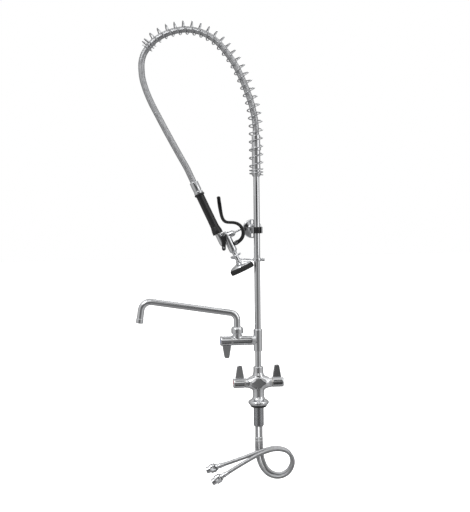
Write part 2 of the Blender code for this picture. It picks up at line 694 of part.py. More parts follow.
def squeeze_lever():
    """A flat lever bent along its route, with an eye and a slot over the body's lug."""
    pivot_x, pivot_z = lever_pivot
    route = [Vector((x - pivot_x, z - pivot_z)) for x, z, _ in lever_route]
    near, far = [], []
    for i, point in enumerate(route):
        ahead = (route[min(i + 1, len(route) - 1)] - route[max(i - 1, 0)]).normalized()
        aside = Vector((ahead.y, -ahead.x)) * (lever_route[i][2] / 2)
        near.append(point - aside)
        far.append(point + aside)
    nose = route[0] + (route[0] - route[1]).normalized() * (lever_route[0][2] / 2)
    outline = [nose] + far + rounded((0, 0), 6, 90, 270, 6) + near[::-1]
    lever = slab("squeeze_lever", outline, lever_width / 2, black_plastic)
    pivot = frame("lever_pivot", (pivot_x, 0, pivot_z), parent=spray)
    slot = slab("lever_slot", [(-14, -8.4), (7.4, -8.4), (7.4, 9), (-14, 9)], 3.9, black_plastic)
    hole = cutter("lever_pin_hole", rod(2.8, -10, 10), hidden_sides)
    cut(lever, slot, hole)
    place(lever, parent=pivot)
    place(slot, parent=pivot)
    place(hole, turn=(-90, 0, 0), parent=pivot)
    pin = turned("lever_pin", [
        (0, -8.6), (3.8, -8.6), (3.8, -7.3), (2.3, -7.3), (2.3, 7.3), (3.8, 7.3), (3.8, 8.6), (0, 8.6)],
        steel, small_sides)
    place(pin, turn=(-90, 0, 0), parent=pivot)


def hold_open_clip():
    """The flat link that hangs on the front of the body and swings up to hold the lever."""
    pivot = frame("clip_pivot", (clip_pivot[0], 0, clip_pivot[1]), (0, -180 - grip_lean, 0), spray)
    link = slab("hold_open_clip", rounded((0, 0), 5.6, 0, 180, 6) + rounded((0, -36.5), 5, 180, 360, 6),
                1.5, black_plastic)
    pivot_hole = cutter("clip_pivot_hole", rod(2.7, -20, 20), hidden_sides)
    catch_hole = cutter("clip_catch_hole", rod(2.7, -20, 20), hidden_sides)
    cut(link, pivot_hole, catch_hole)
    place(link, (0, 13, 0), parent=pivot)
    place(pivot_hole, turn=(-90, 0, 0), parent=pivot)
    place(catch_hole, (0, 0, -34.5), (-90, 0, 0), pivot)
    screw = turned("clip_screw", [
        (0, 9), (1.5, 9), (1.5, 11.5), (2.1, 11.5), (2.1, 14.8), (3.8, 14.8), (3.8, 16.2), (3, 16.9),
        (0, 16.9)], steel, small_sides)
    place(screw, turn=(-90, 0, 0), parent=pivot)


def spray_head():
    """Dome, perforated face and the rubber bumper round them."""
    dome = turned("spray_dome", [
        (neck_pipe_radius + gap, 198), (7.6, 198), (8.2, 198.6), (8.2, 204), (12, 206.4), (22, 209.6),
        (29, 213.4), (30.4, 216), (28.4, 216), (20, 211.8), (10, 208.6), (neck_pipe_radius + gap, 207.4)],
        chrome)
    bumper = turned("bumper", [
        (25, 216.3), (29.6, 216.3), (31.4, 217.4), (bumper_radius, 219.4), (bumper_radius, 226.4),
        (30.6, 228.6), (28.6, 229.2), (25, 229.2)], rubber)
    face = turned("spray_face", rod(24.7, 222, 226.4), steel)
    for piece in (dome, bumper, face):
        place(piece, (barrel_offset, 0, 0), parent=spray)


grip_and_ferrule()
valve_body()
plunger_and_bonnet()
squeeze_lever()
hold_open_clip()
spray_head()
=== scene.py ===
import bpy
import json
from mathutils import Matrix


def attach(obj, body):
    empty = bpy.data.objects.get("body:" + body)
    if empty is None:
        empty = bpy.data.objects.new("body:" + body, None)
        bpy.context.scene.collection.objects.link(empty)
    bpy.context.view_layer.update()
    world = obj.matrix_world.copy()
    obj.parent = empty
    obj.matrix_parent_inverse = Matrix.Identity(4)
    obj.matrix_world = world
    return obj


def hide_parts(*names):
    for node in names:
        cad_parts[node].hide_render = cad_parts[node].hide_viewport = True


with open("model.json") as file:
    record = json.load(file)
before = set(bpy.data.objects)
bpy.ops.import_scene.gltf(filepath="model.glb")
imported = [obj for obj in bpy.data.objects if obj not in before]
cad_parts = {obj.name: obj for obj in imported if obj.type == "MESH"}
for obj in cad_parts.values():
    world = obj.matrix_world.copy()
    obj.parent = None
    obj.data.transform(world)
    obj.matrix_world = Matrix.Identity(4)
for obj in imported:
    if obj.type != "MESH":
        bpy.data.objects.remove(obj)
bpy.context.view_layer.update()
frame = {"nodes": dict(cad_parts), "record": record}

import json
import math

import bmesh
import bpy
from mathutils import Euler, Matrix, Vector

mm = 0.001
scene = bpy.context.scene
print("frame loaded:", len(frame["nodes"]), "solids")

# sizes below are in millimetres unless a comment says otherwise


def linear(hexColour):
    channels = [int(hexColour[i:i + 2], 16) / 255 for i in (1, 3, 5)]
    return (*[c / 12.92 if c <= 0.04045 else ((c + 0.055) / 1.055) ** 2.4 for c in channels], 1.0)


def addNode(tree, kind, inputs=(), **settings):
    # kind leaves out its family, GeometryNode or ShaderNode. Inputs go by socket name or in order, and each is
    # a value, a socket, or a node for its first output
    family = next((name for name in ("GeometryNode", "ShaderNode") if hasattr(bpy.types, name + kind)), "")
    node = tree.nodes.new(family + kind)
    for key, value in settings.items():
        setattr(node, key, value)
    for key, value in inputs.items() if isinstance(inputs, dict) else enumerate(inputs):
        source = value.outputs[0] if isinstance(value, bpy.types.Node) else value
        if isinstance(source, bpy.types.NodeSocket):
            tree.links.new(source, node.inputs[key])
        else:
            node.inputs[key].default_value = source
    return node


def placing(location=(0, 0, 0), turn=(0, 0, 0)):
    return Matrix.Translation(Vector(location)) @ Euler([math.radians(a) for a in turn]).to_matrix().to_4x4()


def smoothLine(route, count):
    # ends of equal pieces of a smooth curve through the route's points
    knots = [Vector(point) for point in route]
    ends = [2 * knots[0] - knots[1]] + knots + [2 * knots[-1] - knots[-2]]
    fine = []
    for a, b, c, d in zip(ends, ends[1:], ends[2:], ends[3:]):
        for i in range(24):
            t = i / 24
            fine.append(0.5 * (2 * b + (c - a) * t + (2 * a - 5 * b + 4 * c - d) * t * t
                               + (3 * b - a - 3 * c + d) * t ** 3))
    fine.append(knots[-1])
    travelled = [0.0]
    for a, b in zip(fine, fine[1:]):
        travelled.append(travelled[-1] + (b - a).length)
    points = []
    segment = 0
    for i in range(count + 1):
        wanted = travelled[-1] * i / count
        while segment < len(fine) - 2 and travelled[segment + 1] < wanted:
            segment += 1
        share = (wanted - travelled[segment]) / (travelled[segment + 1] - travelled[segment])
        points.append(fine[segment].lerp(fine[segment + 1], share))
    return points


cameraSetup = {
    "aim": (-58.0, 0.0, 398.5),
    "azimuth": -7.0,  # degrees to the left of straight in front
    "elevation": 4.0,  # degrees above level
    "roll": 0.66,  # degrees
    "distance": 3000.0,
    "heightInView": 1331.0,
}


def makeCamera(setup):
    azimuth, elevation = math.radians(setup["azimuth"]), math.radians(setup["elevation"])
    back = Vector((math.sin(azimuth) * math.cos(elevation), -math.cos(azimuth) * math.cos(elevation),
                   math.sin(elevation)))
    data = bpy.data.cameras.new("studioCamera")
    data.sensor_width = 36
    data.lens = 36 * setup["distance"] / setup["heightInView"]
    camera = bpy.data.objects.new("studioCamera", data)
    scene.collection.objects.link(camera)
    camera.location = (Vector(setup["aim"]) + back * setup["distance"]) * mm
    turn = (-back).to_track_quat("-Z", "Y").to_matrix() @ Matrix.Rotation(math.radians(-setup["roll"]), 3, "Z")
    camera.rotation_euler = turn.to_euler()
    scene.camera = camera


studioLight = {
    # degrees round from the camera's side, brightness: tall softboxes at both sides
    "around": [
        (-180, 0.34), (-120, 0.36), (-98, 0.55), (-58, 0.66), (-40, 0.5), (-22, 0.42), (22, 0.42), (40, 0.46),
        (58, 0.66), (95, 0.6), (115, 0.36), (180, 0.34)],
    # degrees above the horizon, share: a softbox overhead
    "upwards": [
        (-90, 0.75), (-40, 0.8), (-15, 0.9), (0, 1.0), (30, 1.25), (38, 2.0), (64, 2.0), (78, 1.4), (90, 1.3)],
    # the grey stand round the camera, by degrees above the horizon, and its dark side frames
    "stand": [
        (-90, 0.45), (-62, 0.36), (-42, 0.2), (0, 0.2), (3, 0.03), (9, 0.03), (13, 0.8), (32, 1.0), (45, 1.15),
        (70, 1.0), (90, 0.8)],
    "frames": [(-22, 0.1), (-17, 0.1), (-15, 1.0), (15, 1.0), (17, 0.1), (22, 0.1)],
    "standHalfWidth": 22.0,
}


def rampOf(tree, source, stops, low, high):
    spread = addNode(tree, "MapRange", {"Value": source, "From Min": low, "From Max": high})
    ramp = addNode(tree, "ValToRGB", {"Fac": spread})
    elements = ramp.color_ramp.elements
    brightest = max(share for _, share in stops)
    while len(elements) < len(stops):
        elements.new(0.5)
    for element, (degrees, share) in zip(elements, stops):
        element.position = (degrees - low) / (high - low)
        element.color = (share / brightest, share / brightest, share / brightest, 1)
    return addNode(tree, "Math", (ramp, brightest), operation="MULTIPLY")


def makeWorld(setup):
    world = bpy.data.worlds.new("studioRoom")
    scene.world = world
    world.use_nodes = True
    tree = world.node_tree
    tree.nodes.clear()
    way = addNode(tree, "TexCoord")
    turn = addNode(tree, "VectorRotate", {"Vector": way.outputs["Generated"],
            "Angle": math.radians(-cameraSetup["azimuth"])}, rotation_type="Z_AXIS")
    split = addNode(tree, "SeparateXYZ", {"Vector": turn})
    towards = addNode(tree, "Math", (split.outputs["Y"], -1.0), operation="MULTIPLY")
    azimuth = addNode(tree, "Math", (split.outputs["X"], towards), operation="ARCTAN2")
    azimuthDegrees = addNode(tree, "Math", (azimuth,), operation="DEGREES")
    elevation = addNode(tree, "Math", (split.outputs["Z"],), operation="ARCSINE")
    elevationDegrees = addNode(tree, "Math", (elevation,), operation="DEGREES")
    around = rampOf(tree, azimuthDegrees, setup["around"], -180, 180)
    upwards = rampOf(tree, elevationDegrees, setup["upwards"], -90, 90)
    openRoom = addNode(tree, "Math", (around, upwards), operation="MULTIPLY")
    halfWidth = setup["standHalfWidth"]
    stand = rampOf(tree, elevationDegrees, setup["stand"], -90, 90)
    frames = rampOf(tree, azimuthDegrees, setup["frames"], -halfWidth, halfWidth)
    framed = addNode(tree, "Math", (stand, frames), operation="MULTIPLY")
    offCentre = addNode(tree, "Math", (azimuthDegrees,), operation="ABSOLUTE")
    isStand = addNode(tree, "Math", (offCentre, halfWidth), operation="LESS_THAN")
    room = addNode(tree, "Mix", {"Factor": isStand, "A": openRoom, "B": framed}, data_type="FLOAT")
    sight = addNode(tree, "LightPath")
    strength = addNode(tree, "Mix", {"Factor": sight.outputs["Is Camera Ray"], "A": room, "B": 1.0},
            data_type="FLOAT")
    light = addNode(tree, "Background", {"Strength": strength, "Color": (1, 1, 1, 1)})
    addNode(tree, "OutputWorld", {"Surface": light})


softboxes = [
    {"name": "keyLight", "place": (-1500, -1600, 1900), "size": (900, 900), "watts": 12},
    {"name": "fillLight", "place": (1700, -1300, 900), "size": (500, 1400), "watts": 4},
    {"name": "rimLight", "place": (300, 1700, 1700), "size": (1200, 600), "watts": 6},
]


def makeSoftboxes(boxes):
    aim = Vector(cameraSetup["aim"])
    for box in boxes:
        data = bpy.data.lights.new(box["name"], "AREA")
        data.shape = "RECTANGLE"
        data.size, data.size_y = box["size"][0] * mm, box["size"][1] * mm
        data.energy = box["watts"]
        lamp = bpy.data.objects.new(box["name"], data)
        scene.collection.objects.link(lamp)
        lamp.location = Vector(box["place"]) * mm
        lamp.rotation_euler = (aim - Vector(box["place"])).to_track_quat("-Z", "Y").to_euler()


floorSetup = {"height": -260.0, "reach": 9000.0, "colour": "#F7F7F7"}


def makeFloor(setup):
    bm = bmesh.new()
    bmesh.ops.create_grid(bm, x_segments=1, y_segments=1, size=setup["reach"] * mm)
    bmesh.ops.translate(bm, vec=(0, 0, setup["height"] * mm), verts=bm.verts)
    mesh = bpy.data.meshes.new("studioFloor")
    bm.to_mesh(mesh)
    bm.free()
    paint = bpy.data.materials.new("mattPaperSweep")
    paint.use_nodes = True
    shader = paint.node_tree.nodes["Principled BSDF"]
    shader.inputs["Base Color"].default_value = linear(setup["colour"])
    shader.inputs["Roughness"].default_value = 0.9
    shader.inputs["Emission Color"].default_value = (1, 1, 1, 1)
    shader.inputs["Emission Strength"].default_value = 0.75
    mesh.materials.append(paint)
    floor = bpy.data.objects.new("studioFloor", mesh)
    scene.collection.objects.link(floor)
    floor.visible_glossy = False  # the metal mirrors the room, not the paper


makeCamera(cameraSetup)
makeWorld(studioLight)
makeSoftboxes(softboxes)
makeFloor(floorSetup)
scene.view_settings.view_transform = "Standard"
print("camera, light and floor made")


def newMaterial(name, recipe):
    # a shader with fine variation in its roughness, shade and relief, from grains and clouds of a real size
    made = bpy.data.materials.new(name)
    made.use_nodes = True
    tree = made.node_tree
    shader = tree.nodes["Principled BSDF"]
    colour = linear(recipe["colour"])
    shader.inputs["Metallic"].default_value = recipe.get("metallic", 0.0)
    if "ior" in recipe:
        shader.inputs["IOR"].default_value = recipe["ior"]
    place = addNode(tree, "TexCoord").outputs["Object"]
    grain = addNode(tree, "TexNoise", {"Vector": place, "Scale": 1 / (recipe["grain"] * mm), "Detail": 3.0,
            "Roughness": 0.6}).outputs["Fac"]
    clouds = addNode(tree, "TexNoise", {"Vector": place, "Scale": 1 / (recipe["clouds"] * mm),
            "Detail": 2.0}).outputs["Fac"]
    low, high = recipe["roughness"]
    rough = addNode(tree, "MapRange", {"Value": grain, "From Min": 0.3, "From Max": 0.7, "To Min": low,
    "To Max": high})
    tone = addNode(tree, "MapRange", {"Value": clouds, "From Min": 0.35, "From Max": 0.65})
    worn = [c * recipe["shade"] for c in colour[:3]] + [1]
    mixed = addNode(tree, "Mix", {"Factor": tone, "A": worn, "B": colour}, data_type="RGBA")
    bump = addNode(tree, "Bump", {"Height": grain, "Distance": recipe["relief"] * mm, "Strength": 0.6})
    for source, socket in ((rough, "Roughness"), (mixed, "Base Color"), (bump, "Normal")):
        tree.links.new(source.outputs["Normal" if source is bump else "Result"], shader.inputs[socket])
    return made


# grain, clouds and relief are in millimetres; marks too fine to show, such as polishing haze, have coarser grains
recipes = {
    # bright chrome plate on cast and drawn brass: a cool mirror with the faintest polishing haze
    "chromePlate": {
        "colour": "#DCDDDF", "metallic": 1.0, "roughness": (0.06, 0.11), "grain": 6, "clouds": 40,
        "relief": 0.004, "shade": 0.96},
    # machined brass: warm, with fine turning haze; only inside the valves
    "machinedBrass": {
        "colour": "#C9A14E", "metallic": 1.0, "roughness": (0.22, 0.34), "grain": 0.8, "clouds": 12,
        "relief": 0.01, "shade": 0.85},
    # bright drawn stainless wire and screws: a little duller and greyer than the chrome
    "drawnStainless": {
        "colour": "#C4C5C7", "metallic": 1.0, "roughness": (0.14, 0.24), "grain": 1.2, "clouds": 25,
        "relief": 0.006, "shade": 0.9},
    # woven stainless braid: each strand a flat bundle of wires, so glints break up along it
    "stainlessBraid": {
        "colour": "#C9CACC", "metallic": 1.0, "roughness": (0.3, 0.46), "grain": 0.9, "clouds": 9,
        "relief": 0.05, "shade": 0.8},
    # plated but unpolished shank: a grey satin beside the bright pieces
    "satinPlate": {
        "colour": "#A9AAAD", "metallic": 1.0, "roughness": (0.2, 0.34), "grain": 1.5, "clouds": 15,
        "relief": 0.01, "shade": 0.85},
    # glass-filled nylon grip and lever: near black with a soft moulded sheen
    "mouldedNylon": {
        "colour": "#141415", "roughness": (0.3, 0.42), "ior": 1.53, "grain": 0.7, "clouds": 20,
        "relief": 0.03, "shade": 0.8},
    # black nitrile rubber: matt, with a slight bloom
    "nitrileRubber": {
        "colour": "#171717", "roughness": (0.5, 0.7), "ior": 1.52, "grain": 0.9, "clouds": 8,
        "relief": 0.05, "shade": 0.75},
    # acetal index caps, hot and cold: clean glossy plastic
    "redAcetal": {
        "colour": "#B3262A", "roughness": (0.2, 0.3), "ior": 1.48, "grain": 1.0, "clouds": 6,
        "relief": 0.01, "shade": 0.9},
}
recipes["blueAcetal"] = {**recipes["redAcetal"], "colour": "#2348A0"}
looks = {name: newMaterial(name, recipe) for name, recipe in recipes.items()}

slotOf = {  # a slot with two finishes carries its first over to the solids that stay
    "chromePlate": "chrome", "satinPlate": "chrome", "machinedBrass": "brass",
    "drawnStainless": "stainless_steel", "stainlessBraid": "braided_hose", "mouldedNylon": "black_plastic",
    "nitrileRubber": "rubber", "redAcetal": "hot_marker", "blueAcetal": "cold_marker",
}

# the solids that stay as they are sit inside the valves; the rest are replaced below
carriedOver = {slot: look for look, slot in reversed(slotOf.items())}
for part in frame["record"]["subparts"]:
    node = frame["nodes"][part["node"]]
    node.data.materials.clear()
    node.data.materials.append(looks[carriedOver[part["material_slot"]]])
print("materials made:", len(looks))


def roundedCorners(points, radius, closed, steps=3):
    made = []
    count = len(points)
    for i, corner in enumerate(points):
        here = Vector(corner)
        if not closed and i in (0, count - 1):
            made.append(here)
            continue
        before = Vector(points[i - 1]) - here
        after = Vector(points[(i + 1) % count]) - here
        reach = min(radius, 0.45 * before.length, 0.45 * after.length)
        start = here + before.normalized() * reach
        end = here + after.normalized() * reach
        for k in range(steps + 1):
            t = k / steps
            made.append(start * (1 - t) ** 2 + here * 2 * t * (1 - t) + end * t * t)
    return made


def lathe(profile, soft=0.4, segments=64):
    # turned about Z; a profile that starts on the axis is solid, any other is closed into a ring
    solid = profile[0][0] < 1e-6
    rings = []
    bm = bmesh.new()
    for radius, height in roundedCorners(profile, soft, not solid):
        if radius < 1e-6:
            rings.append([bm.verts.new((0, 0, height))])
        else:
            rings.append([bm.verts.new((radius * math.cos(math.tau * k / segments),
                                        radius * math.sin(math.tau * k / segments), height))
                          for k in range(segments)])
    for low, high in zip(rings, rings[1:] + ([] if solid else rings[:1])):
        for k in range(segments):
            corners = []
            for vertex in (low[k % len(low)], low[(k + 1) % segments % len(low)],
                           high[(k + 1) % segments % len(high)], high[k % len(high)]):
                if vertex not in corners:
                    corners.append(vertex)
            if len(corners) > 2:
                bm.faces.new(corners)
    return bm


def plate(outline, halfWidth, soft=0.8, steps=3):
    # an outline in X and Z, thick along Y, with rounded edges
    bm = bmesh.new()
    face = bm.faces.new([bm.verts.new((x, -halfWidth, z)) for x, z in outline])
    raised = bmesh.ops.extrude_face_region(bm, geom=[face])
    bmesh.ops.translate(bm, vec=(0, 2 * halfWidth, 0),
                        verts=[item for item in raised["geom"] if isinstance(item, bmesh.types.BMVert)])
    bmesh.ops.recalc_face_normals(bm, faces=bm.faces)
    rims = [edge for edge in bm.edges if edge.calc_face_angle(0) > math.radians(50)]
    bmesh.ops.bevel(bm, geom=rims, offset=soft, segments=steps, profile=0.5, affect="EDGES", clamp_overlap=True)
    return bm


def arc(centre, radius, start, end, steps=12):
    angles = [math.radians(start + (end - start) * i / steps) for i in range(steps + 1)]
    return [(centre[0] + radius * math.cos(a), centre[1] + radius * math.sin(a)) for a in angles]


def sweep(points, radii, segments=32, bore=None):
    # a bar, or a pipe if it has a bore, along points; its section never twists
    count = len(points)
    if not isinstance(radii, list):
        radii = [radii] * count
    ways = [(points[min(i + 1, count - 1)] - points[max(i - 1, 0)]).normalized() for i in range(count)]
    side = ways[0].orthogonal().normalized()
    bm = bmesh.new()
    walls = [[], []]
    for i, point in enumerate(points):
        side = (side - ways[i] * side.dot(ways[i])).normalized()
        up = ways[i].cross(side)
        for wall, radius in ((0, radii[i]), (1, bore or 0)):
            if wall == 1 and not bore:
                continue
            walls[wall].append([bm.verts.new(point + side * (radius * math.cos(math.tau * k / segments))
                                             + up * (radius * math.sin(math.tau * k / segments)))
                                for k in range(segments)])
    for rings in walls:
        for low, high in zip(rings, rings[1:]):
            for k in range(segments):
                bm.faces.new((low[k], low[k - 1], high[k - 1], high[k]))
    for end in (0, -1):
        if bore:
            for k in range(segments):
                bm.faces.new((walls[0][end][k], walls[0][end][k - 1], walls[1][end][k - 1], walls[1][end][k]))
        else:
            bm.faces.new(walls[0][end])
    return bm


def moved(bm, matrix):
    bm.transform(matrix)
    return bm


def merged(*shapes):
    whole = bmesh.new()
    for shape in shapes:
        part = bpy.data.meshes.new("part")
        shape.to_mesh(part)
        shape.free()
        whole.from_mesh(part)
        bpy.data.meshes.remove(part)
    return whole


def looseObject(name, bm):
    bmesh.ops.recalc_face_normals(bm, faces=bm.faces)
    mesh = bpy.data.meshes.new(name)
    bm.to_mesh(mesh)
    bm.free()
    made = bpy.data.objects.new(name, mesh)
    scene.collection.objects.link(made)
    return made


def evaluated(worked, *helpers):
    # the object as its modifiers leave it, as a bmesh; the objects are removed
    bpy.context.view_layer.update()
    mesh = bpy.data.meshes.new_from_object(worked.evaluated_get(bpy.context.evaluated_depsgraph_get()))
    bm = bmesh.new()
    bm.from_mesh(mesh)
    bpy.data.meshes.remove(mesh)
    for done in (worked, *helpers):
        bpy.data.objects.remove(done, do_unlink=True)
    return bm


def carved(bm, operation, *tools):
    worked = looseObject("carved", bm)
    helpers = [looseObject("tool", tool) for tool in tools]
    for helper in helpers:
        boolean = worked.modifiers.new("carve", "BOOLEAN")
        boolean.operation = operation
        boolean.object = helper
    return evaluated(worked, *helpers)


def cast(shapes, voxel, smoothing):
    # shapes run into one skin with soft inner corners, as a polished casting has
    worked = looseObject("casting", merged(*shapes))
    remesh = worked.modifiers.new("skin", "REMESH")
    remesh.mode = "VOXEL"
    remesh.voxel_size = voxel
    smooth = worked.modifiers.new("polish", "SMOOTH")
    smooth.factor = 0.5
    smooth.iterations = smoothing
    return evaluated(worked)


bodyOf = {node: body for body, nodes in frame["record"]["behaviour"]["bodies"].items() for node in nodes}


def addPiece(name, node, bm, matrix=None, look="chromePlate", sharpAngle=38, body="root"):
    # a finished piece: its place is in its mesh, it rides on its body and stands for its solids
    if matrix is not None:
        bm.transform(matrix)
    bm.transform(Matrix.Scale(mm, 4))
    bmesh.ops.remove_doubles(bm, verts=bm.verts, dist=1e-7)
    bmesh.ops.recalc_face_normals(bm, faces=bm.faces)
    mesh = bpy.data.meshes.new(name)
    bm.to_mesh(mesh)
    bm.free()
    mesh.shade_smooth()
    mesh.set_sharp_from_angle(angle=math.radians(sharpAngle))
    mesh.materials.clear()
    mesh.materials.append(looks[look])
    made = bpy.data.objects.new(name, mesh)
    scene.collection.objects.link(made)
    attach(made, bodyOf[node] if node else body)
    if node:
        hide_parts(node)
    return made


def newTree(name, inputs):
    tree = bpy.data.node_groups.new(name, "GeometryNodeTree")
    tree.interface.new_socket("Geometry", in_out="INPUT", socket_type="NodeSocketGeometry")
    for label, kind, value in inputs:
        socket = tree.interface.new_socket(label, in_out="INPUT", socket_type="NodeSocket" + kind)
        if value is not None:
            socket.default_value = value
    tree.interface.new_socket("Geometry", in_out="OUTPUT", socket_type="NodeSocketGeometry")
    return tree, addNode(tree, "NodeGroupInput").outputs


def endTree(tree, geometry, look):
    smooth = addNode(tree, "SetShadeSmooth", {"Geometry": geometry})
    real = addNode(tree, "RealizeInstances", {"Geometry": smooth})
    painted = addNode(tree, "SetMaterial", {"Geometry": real, "Material": look})
    addNode(tree, "NodeGroupOutput", {"Geometry": painted})
    return tree


def sideways(tree, angle, radius):
    # an offset square to the curve, at that angle round it
    normal = addNode(tree, "InputNormal").outputs["Normal"]
    tangent = addNode(tree, "InputTangent").outputs["Tangent"]
    across = addNode(tree, "VectorMath", (tangent, normal), operation="CROSS_PRODUCT")
    cosine = addNode(tree, "Math", (angle,), operation="COSINE")
    sine = addNode(tree, "Math", (angle,), operation="SINE")
    along = addNode(tree, "VectorMath", {0: normal, "Scale": cosine}, operation="SCALE")
    aside = addNode(tree, "VectorMath", {0: across, "Scale": sine}, operation="SCALE")
    way = addNode(tree, "VectorMath", (along, aside), operation="ADD")
    offset = addNode(tree, "VectorMath", {0: way, "Scale": radius}, operation="SCALE")
    return way.outputs[0], offset.outputs[0]


def makeCoilTree():
    # wire wound round a path: the overhead spring and every thread
    tree, given = newTree("coiledWire", [
        ("Coil Radius", "Float", 0.01), ("Wire Radius", "Float", 0.001), ("Turns", "Float", 10.0),
        ("Closed Turns", "Float", 0.0), ("Steps", "Int", 200), ("Wire Sides", "Int", 10),
        ("Material", "Material", None)])
    curve = addNode(tree, "MeshToCurve", {"Mesh": given["Geometry"]})
    fine = addNode(tree, "ResampleCurve", {"Curve": curve, "Count": given["Steps"]}, mode="COUNT")
    share = addNode(tree, "SplineParameter").outputs["Factor"]
    # the end turns lie close together, within the first and last 3% of the path
    first = addNode(tree, "MapRange", {"Value": share, "From Max": 0.03})
    last = addNode(tree, "MapRange", {"Value": share, "From Min": 0.97})
    ends = addNode(tree, "Math", (first, last), operation="ADD")
    closed = addNode(tree, "Math", (ends, given["Closed Turns"]), operation="MULTIPLY")
    turns = addNode(tree, "Math", (share, given["Turns"], closed), operation="MULTIPLY_ADD")
    angle = addNode(tree, "Math", (turns, math.tau), operation="MULTIPLY")
    _, offset = sideways(tree, angle, given["Coil Radius"])
    wound = addNode(tree, "SetPosition", {"Geometry": fine, "Offset": offset})
    section = addNode(tree, "CurvePrimitiveCircle", {"Resolution": given["Wire Sides"],
            "Radius": given["Wire Radius"]})
    wire = addNode(tree, "CurveToMesh", {"Curve": wound, "Profile Curve": section, "Fill Caps": True})
    return endTree(tree, wire, given["Material"])


def makeBraidTree():
    # a hose core under a sleeve of flat strands that pass over and under each other both ways round
    tree, given = newTree("braidedHose", [
        ("Hose Radius", "Float", 0.008), ("Strands Each Way", "Int", 12), ("Turns", "Float", 16.0),
        ("Strand Width", "Float", 0.002), ("Strand Thickness", "Float", 0.0004), ("Steps", "Int", 600),
        ("Core Steps", "Int", 120), ("Material", "Material", None)])
    curve = addNode(tree, "MeshToCurve", {"Mesh": given["Geometry"]})
    fine = addNode(tree, "ResampleCurve", {"Curve": curve, "Count": given["Steps"]}, mode="COUNT")
    strands = addNode(tree, "Math", (given["Strands Each Way"], 2), operation="MULTIPLY")
    copies = addNode(tree, "DuplicateElements", {"Geometry": fine, "Amount": strands}, domain="SPLINE")
    index = copies.outputs["Duplicate Index"]
    share = addNode(tree, "SplineParameter").outputs["Factor"]
    rightHanded = addNode(tree, "Math", (index, given["Strands Each Way"]), operation="LESS_THAN")
    way = addNode(tree, "Math", (rightHanded, 2, -1), operation="MULTIPLY_ADD")
    wound = addNode(tree, "Math", (share, given["Turns"]), operation="MULTIPLY")
    start = addNode(tree, "Math", (index, given["Strands Each Way"]), operation="DIVIDE")
    turned = addNode(tree, "Math", (wound, way, start), operation="MULTIPLY_ADD")
    angle = addNode(tree, "Math", (turned, math.tau), operation="MULTIPLY")
    crossed = addNode(tree, "Math", (wound, given["Strands Each Way"]), operation="MULTIPLY")
    crossings = addNode(tree, "Math", (crossed, math.tau), operation="MULTIPLY")
    wave = addNode(tree, "Math", (crossings,), operation="COSINE")
    side = addNode(tree, "Math", (wave, way), operation="MULTIPLY")
    half = addNode(tree, "Math", (given["Strand Thickness"], 0.5), operation="MULTIPLY")
    middle = addNode(tree, "Math", (given["Hose Radius"], given["Strand Thickness"]), operation="SUBTRACT")
    radius = addNode(tree, "Math", (side, half, middle), operation="MULTIPLY_ADD")
    out, offset = sideways(tree, angle, radius)
    outward = addNode(tree, "CaptureAttribute", {"Geometry": copies})
    outward.capture_items.new("VECTOR", "Outward")
    tree.links.new(out, outward.inputs["Outward"])
    laid = addNode(tree, "SetPosition", {"Geometry": outward, "Offset": offset})
    faced = addNode(tree, "SetCurveNormal", {"Curve": laid, "Normal": outward.outputs["Outward"]}, mode="FREE")
    section = addNode(tree, "CurvePrimitiveCircle", {"Resolution": 4, "Radius": 1.0})
    halfWidth = addNode(tree, "Math", (given["Strand Width"], 0.5), operation="MULTIPLY")
    flat = addNode(tree, "CombineXYZ", (half, halfWidth, 1.0))
    ribbon = addNode(tree, "Transform", {"Geometry": section, "Scale": flat})
    sleeve = addNode(tree, "CurveToMesh", {"Curve": faced, "Profile Curve": ribbon, "Fill Caps": True})
    coreLine = addNode(tree, "ResampleCurve", {"Curve": curve, "Count": given["Core Steps"]}, mode="COUNT")
    coreRadius = addNode(tree, "Math", (given["Strand Thickness"], -1.4, given["Hose Radius"]),
            operation="MULTIPLY_ADD")
    ring = addNode(tree, "CurvePrimitiveCircle", {"Radius": coreRadius, "Resolution": 24})
    core = addNode(tree, "CurveToMesh", {"Curve": coreLine, "Profile Curve": ring, "Fill Caps": True})
    both = addNode(tree, "JoinGeometry")
    for part in (core, sleeve):
        tree.links.new(part.outputs["Mesh"], both.inputs["Geometry"])
    return endTree(tree, both, given["Material"])


def makeSieveTree():
    # a disc with holes in a square grid inside its rim
    tree, given = newTree("sieveDisc", [
        ("Disc Radius", "Float", 0.02), ("Thickness", "Float", 0.002), ("Hole Radius", "Float", 0.0007),
        ("Hole Spacing", "Float", 0.004), ("Holes Across", "Int", 11), ("Material", "Material", None)])
    disc = addNode(tree, "MeshCylinder", {"Radius": given["Disc Radius"], "Depth": given["Thickness"],
            "Vertices": 72})
    gaps = addNode(tree, "Math", (given["Holes Across"], 1), operation="SUBTRACT")
    span = addNode(tree, "Math", (given["Hole Spacing"], gaps), operation="MULTIPLY")
    grid = addNode(tree, "MeshGrid", {"Size X": span, "Size Y": span, "Vertices X": given["Holes Across"],
            "Vertices Y": given["Holes Across"]})
    place = addNode(tree, "InputPosition").outputs["Position"]
    out = addNode(tree, "VectorMath", (place,), operation="LENGTH").outputs["Value"]
    rim = addNode(tree, "Math", (given["Disc Radius"], 0.88), operation="MULTIPLY")
    inside = addNode(tree, "Math", (out, rim), operation="LESS_THAN")
    drill = addNode(tree, "MeshCylinder", {"Radius": given["Hole Radius"], "Vertices": 10, "Depth": 0.02})
    drills = addNode(tree, "InstanceOnPoints", {"Points": grid, "Selection": inside, "Instance": drill})
    loose = addNode(tree, "RealizeInstances", {"Geometry": drills})
    drilled = addNode(tree, "MeshBoolean", {"Mesh 1": disc, "Mesh 2": loose}, operation="DIFFERENCE")
    return endTree(tree, drilled, given["Material"])


